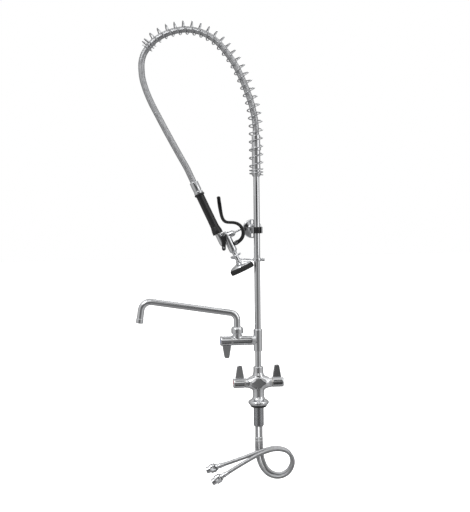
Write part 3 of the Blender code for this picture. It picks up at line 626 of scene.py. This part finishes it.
def grown(tree, path, values):
    # runs a tree on a path given in millimetres, and returns the plain mesh in millimetres
    mesh = bpy.data.meshes.new("path")
    mesh.from_pydata([Vector(point) * mm for point in path], [(i, i + 1) for i in range(len(path) - 1)], [])
    carrier = bpy.data.objects.new("path", mesh)
    scene.collection.objects.link(carrier)
    modifier = carrier.modifiers.new("grow", "NODES")
    modifier.node_group = tree
    for item in tree.interface.items_tree:
        if item.item_type == "SOCKET" and item.in_out == "INPUT" and item.name in values:
            modifier[item.identifier] = values[item.name]
    bm = evaluated(carrier)
    bm.transform(Matrix.Scale(1 / mm, 4))
    return bm


coilTree = makeCoilTree()
braidTree = makeBraidTree()
sieveTree = makeSieveTree()
print("node trees made")


# frames that the pieces stand in; in the spray valve's, X is towards the riser and Z along the grip, away
# from the hose
archFrame = placing(turn=(0, 0, 180 - 12.5))
sprayFrame = archFrame @ placing((149.0, 0, 558.4), (0, 205, 0))
plungerFrame = sprayFrame @ placing((0, 0, 128), (0, 90, 0))
leverFrame = sprayFrame @ placing((33.7, 0, 154.3))
clipFrame = sprayFrame @ placing((13.5, 0, 121.5), (0, -205, 0))
spoutFrame = placing((-54.5, 0, 0))
valveFrames = {
    "hot": placing((-36, 0, 64.7), (0, -90, 0)),
    "cold": placing((36, 0, 64.7), (0, -90, 180)),
    "addon": placing((-69, 0, 177.3), (0, 90, 180)),
}
crosswise = placing(turn=(-90, 0, 0))  # from Z to Y
toTheRight = placing(turn=(0, 90, 0))  # from Z to X
toTheLeft = placing(turn=(0, -90, 0))


sprayHose = {
    "diameter": 16.6, "strandsEachWay": 10, "turns": 13.0, "strandWidth": 3.3, "strandThickness": 0.5,
    "steps": 760,
    # left of the riser and above the deck, from the adapter to the grip's ferrule
    "route": [
        (0, 713), (0, 730), (4, 762), (13.6, 801.5), (31.2, 849), (53.8, 895.5), (84, 937.5), (109.5, 961.5),
        (143, 979), (182, 985.5), (225.5, 977.5), (260.5, 959), (285.5, 932), (295, 909), (296.6, 886),
        (294, 860),
        (285.5, 831), (272.5, 799), (255.8, 766), (238.5, 732.5), (220.6, 699), (200.4, 662), (181.4, 627.9),
        (173, 609.8), (164.55, 591.75)],
}

supplyHoses = {
    "diameter": 10.4, "strandsEachWay": 8, "turns": 10.0, "strandWidth": 2.5, "strandThickness": 0.4,
    "steps": 480,
    # right, towards the user, up; each hose's distance from this line; the twist of the pair in degrees
    "route": [
        (0, 0, -96.6, 5.6, 0), (0.3, 0, -114, 5.6, 0), (2.2, 0, -131, 5.7, 4), (6.5, 0, -148, 5.7, 12),
        (14, 0.5, -163.5, 5.7, 24), (26.5, 2, -177, 5.7, 40), (43.5, 4, -184, 5.7, 56),
        (60.5, 7, -182.5, 5.7, 68), (75, 10, -173.5, 5.7, 76), (84, 13, -159, 5.7, 82),
        (86.3, 16, -143, 5.7, 86), (81, 18, -127, 5.7, 90), (69, 19.5, -115, 5.7, 94),
        (53, 20, -109.5, 5.7, 98), (34, 20, -108.8, 5.7, 102), (13, 20, -113.5, 5.7, 106),
        (-8, 19.5, -120.5, 6, 112), (-37, 18, -133.5, 7.8, 122), (-64, 16.5, -145.5, 10.2, 132),
        (-89.2, 15, -157, 13, 139)],
}


def sprayHoseLine(count):
    points = [(left, 0, up) for left, up in sprayHose["route"]]
    return [archFrame @ point for point in smoothLine(points, count)]


def supplyHoseLine(side, count):
    # side is -1 for the hot hose and 1 for the cold one
    middle = [Vector((x, -front, z)) for x, front, z, _, _ in supplyHoses["route"]]
    line = []
    for i, (_, _, _, distance, twist) in enumerate(supplyHoses["route"]):
        ahead = middle[min(i + 1, len(middle) - 1)] - middle[max(i - 1, 0)]
        inward = Vector((-ahead.z, 0, ahead.x)).normalized()
        angle = math.radians(twist)
        aside = inward * math.cos(angle) + Vector((0, 1, 0)) * math.sin(angle)
        line.append(middle[i] + aside * distance * side)
    return smoothLine(line, count)


def braidedHose(pieceName, node, line, sizes):
    sleeve = grown(braidTree, line, {
        "Hose Radius": sizes["diameter"] / 2 * mm, "Strands Each Way": sizes["strandsEachWay"],
        "Turns": sizes["turns"], "Strand Width": sizes["strandWidth"] * mm,
        "Strand Thickness": sizes["strandThickness"] * mm, "Steps": sizes["steps"], "Core Steps": len(line),
        "Material": looks["stainlessBraid"]})
    return addPiece(pieceName, node, sleeve, look="stainlessBraid", sharpAngle=50)


couplings = {
    "ferrule": [(3, 0.3), (5.9, 0.3), (5.9, 10), (7.6, 10.4), (7.6, 13.2), (5.9, 13.6), (5.9, 18.6), (8.8, 19),
        (8.8, 22.8), (5.9, 23.2), (5.9, 32), (6.8, 32.1), (6.8, 34.5), (3, 34.5)],
    "nut": [(6.4, 24.2), (10.6, 24.2), (12.2, 25.8), (12.2, 37), (10.8, 38.6), (8.9, 38.8), (8.9, 49.2),
            (8.4, 50), (7.3, 50), (7.3, 31.5), (6.4, 31.5)],
    "acrossCorners": 24.5,
    "washer": [(6.1, 23.2), (9.6, 23.2), (9.6, 24.1), (6.1, 24.1)],
    "skirt": (20, 60), "thread": {"pitch": 1.6, "radius": 7.25, "wire": 0.45,
    "heights": (35.6, 39, 42, 46, 49.4)},
}


def hoseCoupling(name, line):
    end = Matrix.Translation(line[-1]) @ (line[-1] - line[-2]).to_track_quat("Z", "Y").to_matrix().to_4x4()
    ferrule = addPiece(name + "HoseFerrule", name + "_hose_ferrule", lathe(couplings["ferrule"], 0.3, 48), end)
    corner, (low, high) = couplings["acrossCorners"] / 2, couplings["skirt"]
    hexagon = lathe([(0, low), (corner, low), (corner, high), (0, high)], 0, 6)
    nut = addPiece(name + "CouplingNut", name + "_coupling_nut",
            carved(lathe(couplings["nut"], 0.3, 60), "INTERSECT", hexagon), end, sharpAngle=30)
    washer = addPiece(name + "Washer", "", lathe(couplings["washer"], 0.2, 48), end, look="nitrileRubber")
    thread = couplings["thread"]  # stands inside the nut's skirt
    heights = thread["heights"]
    wound = grown(coilTree, [end @ Vector((0, 0, z)) for z in heights], {
        "Coil Radius": thread["radius"] * mm, "Wire Radius": thread["wire"] * mm,
        "Turns": (heights[-1] - heights[0]) / thread["pitch"], "Steps": 280, "Wire Sides": 6,
        "Material": looks["chromePlate"]})
    return [ferrule, nut, washer, addPiece(name + "NutThread", "", wound, body=name + "_nut")]


hosePoints = 140
sprayLine = sprayHoseLine(hosePoints)
sprayPiece = braidedHose("sprayHose", "spray_hose", sprayLine, sprayHose)
for side, name in ((-1, "hot"), (1, "cold")):
    line = supplyHoseLine(side, 90)
    piece = braidedHose(name + "SupplyHose", name + "_supply_hose", line, supplyHoses)
    hoseCoupling(name, supplyHoseLine(side, 19))
print("hoses made")


overheadSpring = {
    "coilRadius": 17.0, "wireRadius": 1.6, "turns": 28.0, "closedTurns": 1.4, "steps": 900,
    # its middle line stands off towards the outside of the arch
    "route": [(0, 608), (0, 640), (0, 680), (0, 713), (0, 730), (2.8, 763), (10.8, 802.5), (27.4, 850.7),
        (49.6, 898), (80.6, 941), (107, 965.6), (141.4, 983.6), (182, 990.5), (227.4, 982.3), (263.9, 963),
        (283.5, 941.5)],
}


def makeSpring(sizes):
    line = [archFrame @ point for point in smoothLine([(left, 0, up) for left, up in sizes["route"]], 160)]
    wound = grown(coilTree, line, {
        "Coil Radius": sizes["coilRadius"] * mm, "Wire Radius": sizes["wireRadius"] * mm, "Turns": sizes["turns"],
        "Closed Turns": sizes["closedTurns"], "Steps": sizes["steps"], "Wire Sides": 12,
        "Material": looks["drawnStainless"]})
    addPiece("overheadSpring", "overhead_spring", wound, look="drawnStainless")


makeSpring(overheadSpring)
print("spring made")


baseSizes = {
    "upright": [(0, 4.5), (21.5, 4.5), (25.6, 8), (27.4, 11.4), (27.4, 14), (25.4, 17), (20.5, 19.4), (17, 22.6),
        (15, 28), (15, 40), (16.4, 46), (17, 64.7), (15.6, 84), (13.5, 91), (13.1, 96), (13.1, 107), (0, 107)],
    "arms": [(0, -36), (13.3, -36), (13.5, -30), (14.8, -25), (18.2, -17), (21.6, -9), (21.6, 9), (18.2, 17),
        (14.8, 25), (13.5, 30), (13.3, 36), (0, 36)],
    # the front and back carry a four-pointed face: its reach sideways and upwards, and how far it stands out
    "star": {"from": 42, "to": 90, "reach": (31.0, 36.0), "face": 17.6, "edge": 15.4, "slope": 9, "polish": 3},
    "armHeight": 64.7,
    "gasket": [(13.7, 0), (19, 0), (21.5, 2.2), (21.5, 4.2), (13.7, 4.2)],
    "shank": [(10.5, -51), (11.8, -51), (13.4, -48), (13.4, 3.9), (11, 3.9), (11, -2.5), (10.5, -2.5)],
    "tubeOffset": 5.6,
    "tube": [(3.1, -80.7), (4.4, -80.7), (4.4, -2.8), (3.1, -2.8)],
    "collar": [(3.1, -96), (5.2, -96), (5.2, -90), (4.8, -89.6), (4.8, -88.4), (5.2, -88), (5.2, -82), (4.6, -81),
        (3.1, -81)],
}


def makeBase(sizes):
    star = sizes["star"]
    arms = moved(lathe(sizes["arms"], 1.0), placing((0, 0, sizes["armHeight"])) @ toTheRight)
    skin = cast([lathe(sizes["upright"], 1.0), arms], 0.8, 12)
    waist = [vertex for vertex in skin.verts if star["from"] < vertex.co.z < star["to"]]
    for vertex in waist:
        aside = abs(vertex.co.x) / star["reach"][0]
        along = abs(vertex.co.z - sizes["armHeight"]) / star["reach"][1]
        inside = 1 - math.sqrt(aside) - math.sqrt(along)
        limit = star["face"] if inside > 0 else max(star["edge"], star["face"] + star["slope"] * inside)
        if abs(vertex.co.y) > limit:
            vertex.co.y = math.copysign(limit, vertex.co.y)
    for _ in range(star["polish"]):
        bmesh.ops.smooth_vert(skin, verts=waist, factor=0.5, use_axis_x=True, use_axis_y=True, use_axis_z=True)
    addPiece("baseCasting", "base_body", skin, sharpAngle=60)
    addPiece("deckGasket", "deck_gasket", lathe(sizes["gasket"]), look="nitrileRubber")
    addPiece("mountingShank", "mounting_shank", lathe(sizes["shank"]), look="satinPlate")
    for side, name in ((-1, "hot"), (1, "cold")):
        at = placing((sizes["tubeOffset"] * side, 0, 0))
        addPiece(name + "InletTube", name + "_inlet_tube", lathe(sizes["tube"], 0.2, 40), at)
        addPiece(name + "HoseCollar", name + "_hose_collar", lathe(sizes["collar"], 0.2, 40), at)


makeBase(baseSizes)
print("base made")


handleSizes = {
    "hub": [(0, 0.5), (12.9, 0.5), (13.3, 1.2), (13.3, 27.2), (12.7, 29.2), (11.4, 30.6), (9.3, 30.6),
        (9.3, 27.6),
            (0, 27.6)],
    # outwards from the hub's axis, along it
    "lever": [(11.0, 1.4), (11.0, 25), (13.5, 24.9), (40.3, 20.6), *arc((40.9, 15), 5.4, 80, 10), (45.7, 8),
        (44.7, 6.8), (13.5, 1.5)],
    "leverHalfWidth": 3.1, "leverEdge": 1.1,
    "cap": [(0, 27.9), (9, 27.9), (9, 29.7), (7.6, 30.1), (0, 30.4)],
}


def makeHandle(name, sizes, capLook):
    lever = plate(sizes["lever"], sizes["leverHalfWidth"], sizes["leverEdge"])
    skin = cast([lathe(sizes["hub"], 0.5), lever], 0.45, 5)
    addPiece(name + "LeverHandle", name + "_handle", skin, valveFrames[name], sharpAngle=60)
    addPiece(name + "IndexCap", name + "_index_cap", lathe(sizes["cap"], 0.4), valveFrames[name], look=capLook)


for name, capLook in (("hot", "redAcetal"), ("cold", "blueAcetal"), ("addon", "blueAcetal")):
    makeHandle(name, handleSizes, capLook)
print("handles made")


addonSizes = {
    "tee": [(0, 148), (10.8, 148), (11.6, 149), (11.6, 205), (10.8, 206), (0, 206)],
    "arm": [(0, 0), (10.6, 0), (13, 16), (13, 69), (0, 69)],
    "armHeight": 177.3,
    "nipple": [(6.2, 92.4), (8, 92.4), (8, 161.7), (6.2, 161.7)],
    "outlet": [(0, 177.3), (12, 177.3), (12, 201), (0, 201)],
    "swivelNut": [(12.6, 195.5), (14.4, 195.5), (15.8, 198.1), (15.8, 208.6), (13.2, 213), (9.25, 213),
        (9.25, 209.2), (12.6, 209.2)],
    "spoutCorners": [(0, 203.2), (0, 248), (245.6, 288.2), (252.6, 241.6)],
    "spoutBends": [21, 25],
    "spoutRadius": 8.75, "spoutBore": 7.2,
    "tip": [(6.9, 0.3), (8.8, 0.3), (9.5, 1.2), (9.5, 11.7), (8.8, 12.5), (6.9, 12.5)],
}


def bentLine(corners, radii, steps=24):
    points = [corners[0]]
    for before, corner, after, radius in zip(corners, corners[1:], corners[2:], radii):
        back = (before - corner).normalized()
        on = (after - corner).normalized()
        halfAngle = back.angle(on) / 2
        centre = corner + (back + on).normalized() * (radius / math.sin(halfAngle))
        first = corner + back * (radius / math.tan(halfAngle)) - centre
        for i in range(steps + 1):
            swing = Matrix.Rotation((math.pi - 2 * halfAngle) * i / steps, 3, on.cross(back))
            points.append(centre + swing @ first)
    return points + [corners[-1]]


def makeAddon(sizes):
    arm = moved(lathe(sizes["arm"], 1.0), placing((0, 0, sizes["armHeight"])) @ toTheLeft)
    outlet = moved(lathe(sizes["outlet"], 0.8), spoutFrame)
    skin = cast([lathe(sizes["tee"], 0.8), arm, outlet], 0.65, 22)
    addPiece("addonCasting", "addon_tee", skin, sharpAngle=60)
    addPiece("swivelNut", "swivel_nut", lathe(sizes["swivelNut"], 1.2), spoutFrame)
    addPiece("lowerNipple", "lower_nipple", lathe(sizes["nipple"], 0.2))
    corners = [Vector((-left, 0, up)) for left, up in sizes["spoutCorners"]]
    pipe = sweep(bentLine(corners, sizes["spoutBends"]), sizes["spoutRadius"], 48, sizes["spoutBore"])
    addPiece("spoutPipe", "spout", pipe, spoutFrame)
    lean = math.degrees(math.atan2(corners[-2].x - corners[-1].x, corners[-2].z - corners[-1].z))
    addPiece("spoutTip", "spout_tip", lathe(sizes["tip"], 0.5),
            spoutFrame @ placing(corners[-1], (0, 180 + lean, 0)))


makeAddon(addonSizes)
print("add-on faucet made")


riserSizes = {
    "riser": [(6.2, 192.5), (8, 192.5), (8, 626), (6.2, 626)],
    "springSeat": [(8.3, 604), (9.6, 604), (13, 611.5), (13, 616), (8.3, 616)],
    "adapter": [(8.3, 616.3), (11, 616.3), (11, 671), (13, 672), (13, 679), (11, 680), (11, 710.5), (9.5, 712),
        (5.5, 712), (5.5, 626.3), (8.3, 626.3)],
}


def makeRiser(sizes):
    addPiece("riserPipe", "riser", lathe(sizes["riser"], 0.3, 96))
    addPiece("springSeat", "spring_seat", lathe(sizes["springSeat"], 0.6))
    addPiece("hoseAdapter", "hose_adapter", lathe(sizes["adapter"], 0.6))


bracketSizes = {
    "height": 465.0, "wall": 90.0,
    "bush": [(8.3, -8.2), (12, -8.2), (12, 8.2), (8.3, 8.2)],
    "clamp": [(12.3, -8.2), (15, -8.2), (15, 8.2), (12.3, 8.2)],
    "boss": [(0, 12.9), (7.4, 12.9), (7.4, 24), (0, 24)],
    "bore": [(0, 15.9), (6.5, 15.9), (6.5, 30), (0, 30)],
    "window": [(-10.4, -20), (10.4, -20), (10.4, 20), (-10.4, 20)], "windowDepth": 15,
    "rod": [(0, 16.3), (6, 16.3), (6, 84), (0, 84)],
    "flange": [(0, 84.3), (6.3, 84.3), (6.3, 74), (10, 74), (11, 76), (11.6, 84.5), (23.5, 85.5), (25.5, 87.5),
        (25.5, 90), (0, 90)],
    "slot": arc((0, 20.0), 2.9, 0, 180) + arc((0, 15.0), 2.9, 180, 360),
}


def makeBracket(sizes):
    here = placing((0, 0, sizes["height"]))
    addPiece("bracketBush", "bracket_bush", lathe(sizes["bush"], 0.5), here, look="mouldedNylon")
    boss = moved(lathe(sizes["boss"], 0.6), crosswise)
    ring = carved(lathe(sizes["clamp"], 0.6), "UNION", boss)
    depth = sizes["windowDepth"]
    window = moved(plate(sizes["window"], depth, 0.1, 1), placing((0, -depth, 0)))
    bore = moved(lathe(sizes["bore"], 0), crosswise)
    addPiece("bracketClamp", "bracket_clamp", carved(ring, "DIFFERENCE", window, bore), here, sharpAngle=30)
    addPiece("bracketRod", "bracket_rod", lathe(sizes["rod"], 0.3), here @ crosswise)
    slots = [moved(plate(sizes["slot"], 20, 0.05, 1), placing((0, sizes["wall"], 0), (0, turn, 0)))
             for turn in (180, 0)]
    flange = moved(lathe(sizes["flange"], 0.8, 96), crosswise)
    addPiece("wallFlange", "wall_flange", carved(flange, "DIFFERENCE", *slots), here, sharpAngle=30)


hookSizes = {
    "height": 388.0, "rodRadius": 2.4,
    "route": [(11.6, 0, 388), (15, -0.6, 388.1), (26, -6.6, 388.6), (38, -10.6, 389), (50, -12, 389.6),
        (59, -10.4, 390.4), (65, -5.6, 391.6), (67, 0.6, 393), (65, 6.4, 395), (59.4, 10.8, 397.4),
        (52, 12, 400.6), (45, 11.2, 404), (41, 10, 406.4)],
    "clamp": [(8.45, -4.3), (10.8, -4.3), (10.8, 4.3), (8.45, 4.3)],
    "screw": [(0, 8.3), (2, 8.3), (2, 11.2), (3.4, 11.2), (4.4, 12.6), (4.4, 19), (3.4, 20), (0, 20)],
}


def makeHook(sizes):
    line = smoothLine(sizes["route"], 72)
    tip = (0.97, 0.86, 0.66, 0.3)
    radii = [sizes["rodRadius"] * share for share in [1] * (len(line) - len(tip)) + list(tip)]
    addPiece("fingerHook", "finger_hook", sweep(line, radii, 24), archFrame)
    clampPlace = archFrame @ placing((0, 0, sizes["height"]))
    addPiece("hookClamp", "hook_clamp", lathe(sizes["clamp"], 0.6), clampPlace)
    addPiece("hookScrew", "hook_screw", lathe(sizes["screw"], 0.5, 40), clampPlace @ toTheLeft)


makeRiser(riserSizes)
makeBracket(bracketSizes)
makeHook(hookSizes)
print("riser, bracket and hook made")


spraySizes = {
    "ferrule": [(4.4, -36.5), (10.2, -36.5), (11.2, -35), (11.2, -12), (10.5, -11.4), (10.5, -9), (11.8, -8.4),
        (11.8, -2.8), (6, -2.8), (6, 112.7), (4.4, 112.7)],
    "gripTop": [(6.3, -2.5), (12.4, -2.5), (13.4, -1.6), (13.4, 1.8), (12.4, 2.8), (10.8, 3.6)],
    "gripFlare": [(11.2, 92), (13.4, 104), (13.6, 113), (6.3, 113)],
    "gripFlutes": 10, "fluteDepth": 0.45, "fluted": (6, 98), "fluteOutside": 9,
    "barrel": [(0, 115), (5, 115.6), (8.6, 118), (10.4, 122), (10.4, 168), (9.6, 171.5), (7, 173.5), (6, 178),
        (6, 204.7), (0, 204.7)],
    "inlet": [(0, 113.3), (8.6, 113.3), (8.6, 138), (7.4, 144.5), (4.4, 149), (0, 150.4)],
    "dome": [(6.3, 198), (7.6, 198), (8.2, 198.6), (8.2, 204), (12, 206.4), (22, 209.6), (29, 213.4), (30.4, 216),
        (28.4, 216), (20, 211.8), (10, 208.6), (6.3, 207.4)],
    "bumper": [(25, 216.3), (29.6, 216.3), (31.4, 217.4), (32, 219.4), (32, 226.4), (30.6, 228.6), (28.6, 229.2),
        (25, 229.2)],
    "bumperTeeth": 72, "toothDepth": 0.5, "toothed": (217, 229), "toothOutside": 30, "toothFade": 1.5,
    "face": {"Disc Radius": 24.7 * mm, "Thickness": 4.4 * mm, "Hole Radius": 0.7 * mm, "Hole Spacing": 4 * mm,
             "Holes Across": 11},
    "faceHeight": 224.2, "barrelOffset": 17.0,
    "plungerBoss": [(0, 17), (8, 17), (8, 33), (0, 33)],
    "clipBoss": [(0, 0), (4.2, 0), (4.2, 11.2), (0, 11.2)],
    "leverLug": [(21, 148.5), *arc((33.7, 154.3), 5.2, -90, 90), (21, 160.5)], "lugHalfWidth": 3.5,
}


def fluted(bm, count, depth, span, least, fade=6.0):
    # shallow flutes over a span of heights, outside the least radius; they fade out at both ends
    low, high = span
    for vertex in bm.verts:
        radius = math.hypot(vertex.co.x, vertex.co.y)
        if radius < least or not low < vertex.co.z < high:
            continue
        share = min(1.0, (vertex.co.z - low) / fade, (high - vertex.co.z) / fade)
        wave = 0.5 - 0.5 * math.cos(count * math.atan2(vertex.co.y, vertex.co.x))
        scaling = 1 - depth * share * wave / radius
        vertex.co.x *= scaling
        vertex.co.y *= scaling
    return bm


def makeGrip(sizes):
    addPiece("gripFerrule", "grip_ferrule", lathe(sizes["ferrule"], 0.4), sprayFrame)
    shaft = [(10.8 + 0.4 * max(0, (z - 70) / 22), z) for z in range(6, 92, 3)]  # thickens over its last part
    grip = lathe(sizes["gripTop"] + shaft + sizes["gripFlare"], 0.5, 120)
    fluted(grip, sizes["gripFlutes"], sizes["fluteDepth"], sizes["fluted"], sizes["fluteOutside"])
    addPiece("gripSleeve", "grip", grip, sprayFrame, look="mouldedNylon")


def makeValveBody(sizes):
    barrel = moved(lathe(sizes["barrel"], 0.8), placing((sizes["barrelOffset"], 0, 0)))
    plungerBoss = moved(lathe(sizes["plungerBoss"], 0.5), placing((0, 0, 128)) @ toTheRight)
    clipBoss = moved(lathe(sizes["clipBoss"], 0.4), placing((13.5, 0, 121.5)) @ crosswise)
    lug = plate(sizes["leverLug"], sizes["lugHalfWidth"], 0.5)
    skin = cast([barrel, lathe(sizes["inlet"], 0.8), plungerBoss, clipBoss, lug], 0.5, 6)
    addPiece("valveCasting", "valve_body", skin, sprayFrame, sharpAngle=60)


triggerSizes = {
    "bonnet": [(4.9, 23.6), (5.9, 23.6), (5.9, 33.3), (8, 33.3), (8, 36.8), (6.8, 37.4), (5.2, 41), (2.55, 41),
        (2.55, 39.3), (4.9, 39.3)],
    "plunger": [(0, 20.3), (2.2, 20.3), (2.2, 37.4), (4.5, 37.4), (4.5, 38.8), (2.2, 38.8), (2.2, 57.6),
        (1.4, 58.4),
        (0, 58.4)],
    "leverPin": [(0, -8.6), (3.8, -8.6), (3.8, -7.3), (2.3, -7.3), (2.3, 7.3), (3.8, 7.3), (3.8, 8.6), (0, 8.6)],
    "clipScrew": [(0, 9), (1.5, 9), (1.5, 11.5), (2.1, 11.5), (2.1, 14.8), (3.8, 14.8), (3.8, 16.2), (3, 16.9),
        (0, 16.9)],
}


def makeTrigger(sizes):
    addPiece("bonnetNut", "bonnet", lathe(sizes["bonnet"], 0.3), plungerFrame)
    addPiece("plungerRod", "plunger", lathe(sizes["plunger"], 0.2, 40), plungerFrame, look="drawnStainless")
    for name, node, place in (("leverPin", "lever_pin", leverFrame), ("clipScrew", "clip_screw", clipFrame)):
        addPiece(name, node, lathe(sizes[name], 0.3, 40), place @ crosswise, look="drawnStainless")


leverSizes = {
    "halfWidth": 7.0, "edge": 2.4, "pin": (33.7, 154.3), "pinEndRadius": 6,
    "slot": [(-14, -8.4), (7.4, -8.4), (7.4, 9), (-14, 9)], "slotHalfWidth": 3.9,
    # towards the riser, along the grip, thickness
    "route": [
        (41.5, 28.8, 6.5), (38.5, 38.5, 8.6), (34.2, 52.5, 8.6), (30.2, 67, 7.6), (28.0, 78, 7.2),
        (28.4, 87.5, 7.2),
        (32.8, 94.6, 7.2), (40.2, 99.2, 7.2), (48.2, 103.4, 7.2), (56, 109.6, 7.4), (61.2, 118, 7.6),
        (62.8, 127.6, 7.8), (61.2, 137, 8.2), (56.6, 145, 8.6), (49.6, 150.8, 9), (41, 153.8, 9.4)],
}


def makeLever(sizes):
    # X and Y of the smoothed line are the lever's own, its Z carries the thickness
    pinX, pinZ = sizes["pin"]
    line = smoothLine([(x - pinX, z - pinZ, thickness) for x, z, thickness in sizes["route"]], 46)
    near, far = [], []
    for i, point in enumerate(line):
        ahead = line[min(i + 1, len(line) - 1)] - line[max(i - 1, 0)]
        ahead = Vector((ahead.x, ahead.y)).normalized()
        aside = Vector((ahead.y, -ahead.x)) * (point.z / 2)
        near.append(point.xy - aside)
        far.append(point.xy + aside)
    ahead = (line[0].xy - line[1].xy).normalized() * (line[0].z / 2)
    nose = [line[0].xy + Matrix.Rotation(math.radians(angle), 2) @ ahead for angle in range(66, -67, -22)]
    outline = nose + far + arc((0, 0), sizes["pinEndRadius"], 90, 270, 12) + near[::-1]
    lever = plate(outline, sizes["halfWidth"], sizes["edge"])
    slot = plate(sizes["slot"], sizes["slotHalfWidth"], 0.05, 1)
    addPiece("squeezeLever", "squeeze_lever", carved(lever, "DIFFERENCE", slot), leverFrame, look="mouldedNylon",
            sharpAngle=35)


clipSizes = {
    "outline": arc((0, 0), 5.6, 0, 180) + arc((0, -36.5), 5, 180, 360),
    "halfWidth": 1.5, "standOff": 13, "holeRadius": 2.7, "farHole": -34.5,
    "stud": [(0, -1.7), (2.6, -1.7), (2.6, 1.5), (2.0, 2.1), (0, 2.3)],
}


def makeClip(sizes):
    link = plate(sizes["outline"], sizes["halfWidth"], 0.5)
    radius, standOff, farHole = sizes["holeRadius"], sizes["standOff"], sizes["farHole"]
    holes = [moved(lathe([(0, -20), (radius, -20), (radius, 20), (0, 20)], 0, 32), placing((0, 0, z)) @ crosswise)
             for z in (0, farHole)]
    stud = moved(lathe(sizes["stud"], 0.3, 32), placing((0, standOff, farHole)) @ crosswise)
    addPiece("clipStud", "", stud, clipFrame, look="drawnStainless", body="clip")
    link = moved(carved(link, "DIFFERENCE", *holes), placing((0, standOff, 0)))
    addPiece("holdOpenClip", "hold_open_clip", link, clipFrame, look="mouldedNylon", sharpAngle=35)


def makeSprayHead(sizes):
    place = sprayFrame @ placing((sizes["barrelOffset"], 0, 0))
    addPiece("sprayDome", "spray_dome", lathe(sizes["dome"], 0.6, 96), place)
    bumper = lathe(sizes["bumper"], 0.6, sizes["bumperTeeth"] * 4)
    fluted(bumper, sizes["bumperTeeth"], sizes["toothDepth"], sizes["toothed"], sizes["toothOutside"],
           sizes["toothFade"])
    addPiece("rubberBumper", "bumper", bumper, place, look="nitrileRubber")
    face = grown(sieveTree, [(0, 0, 0), (0, 0, 1)], {**sizes["face"], "Material": looks["drawnStainless"]})
    addPiece("sprayFace", "spray_face", moved(face, placing((0, 0, sizes["faceHeight"]))), place,
            look="drawnStainless")


makeGrip(spraySizes)
makeValveBody(spraySizes)
makeTrigger(triggerSizes)
makeLever(leverSizes)
makeClip(clipSizes)
makeSprayHead(spraySizes)
print("spray valve made")
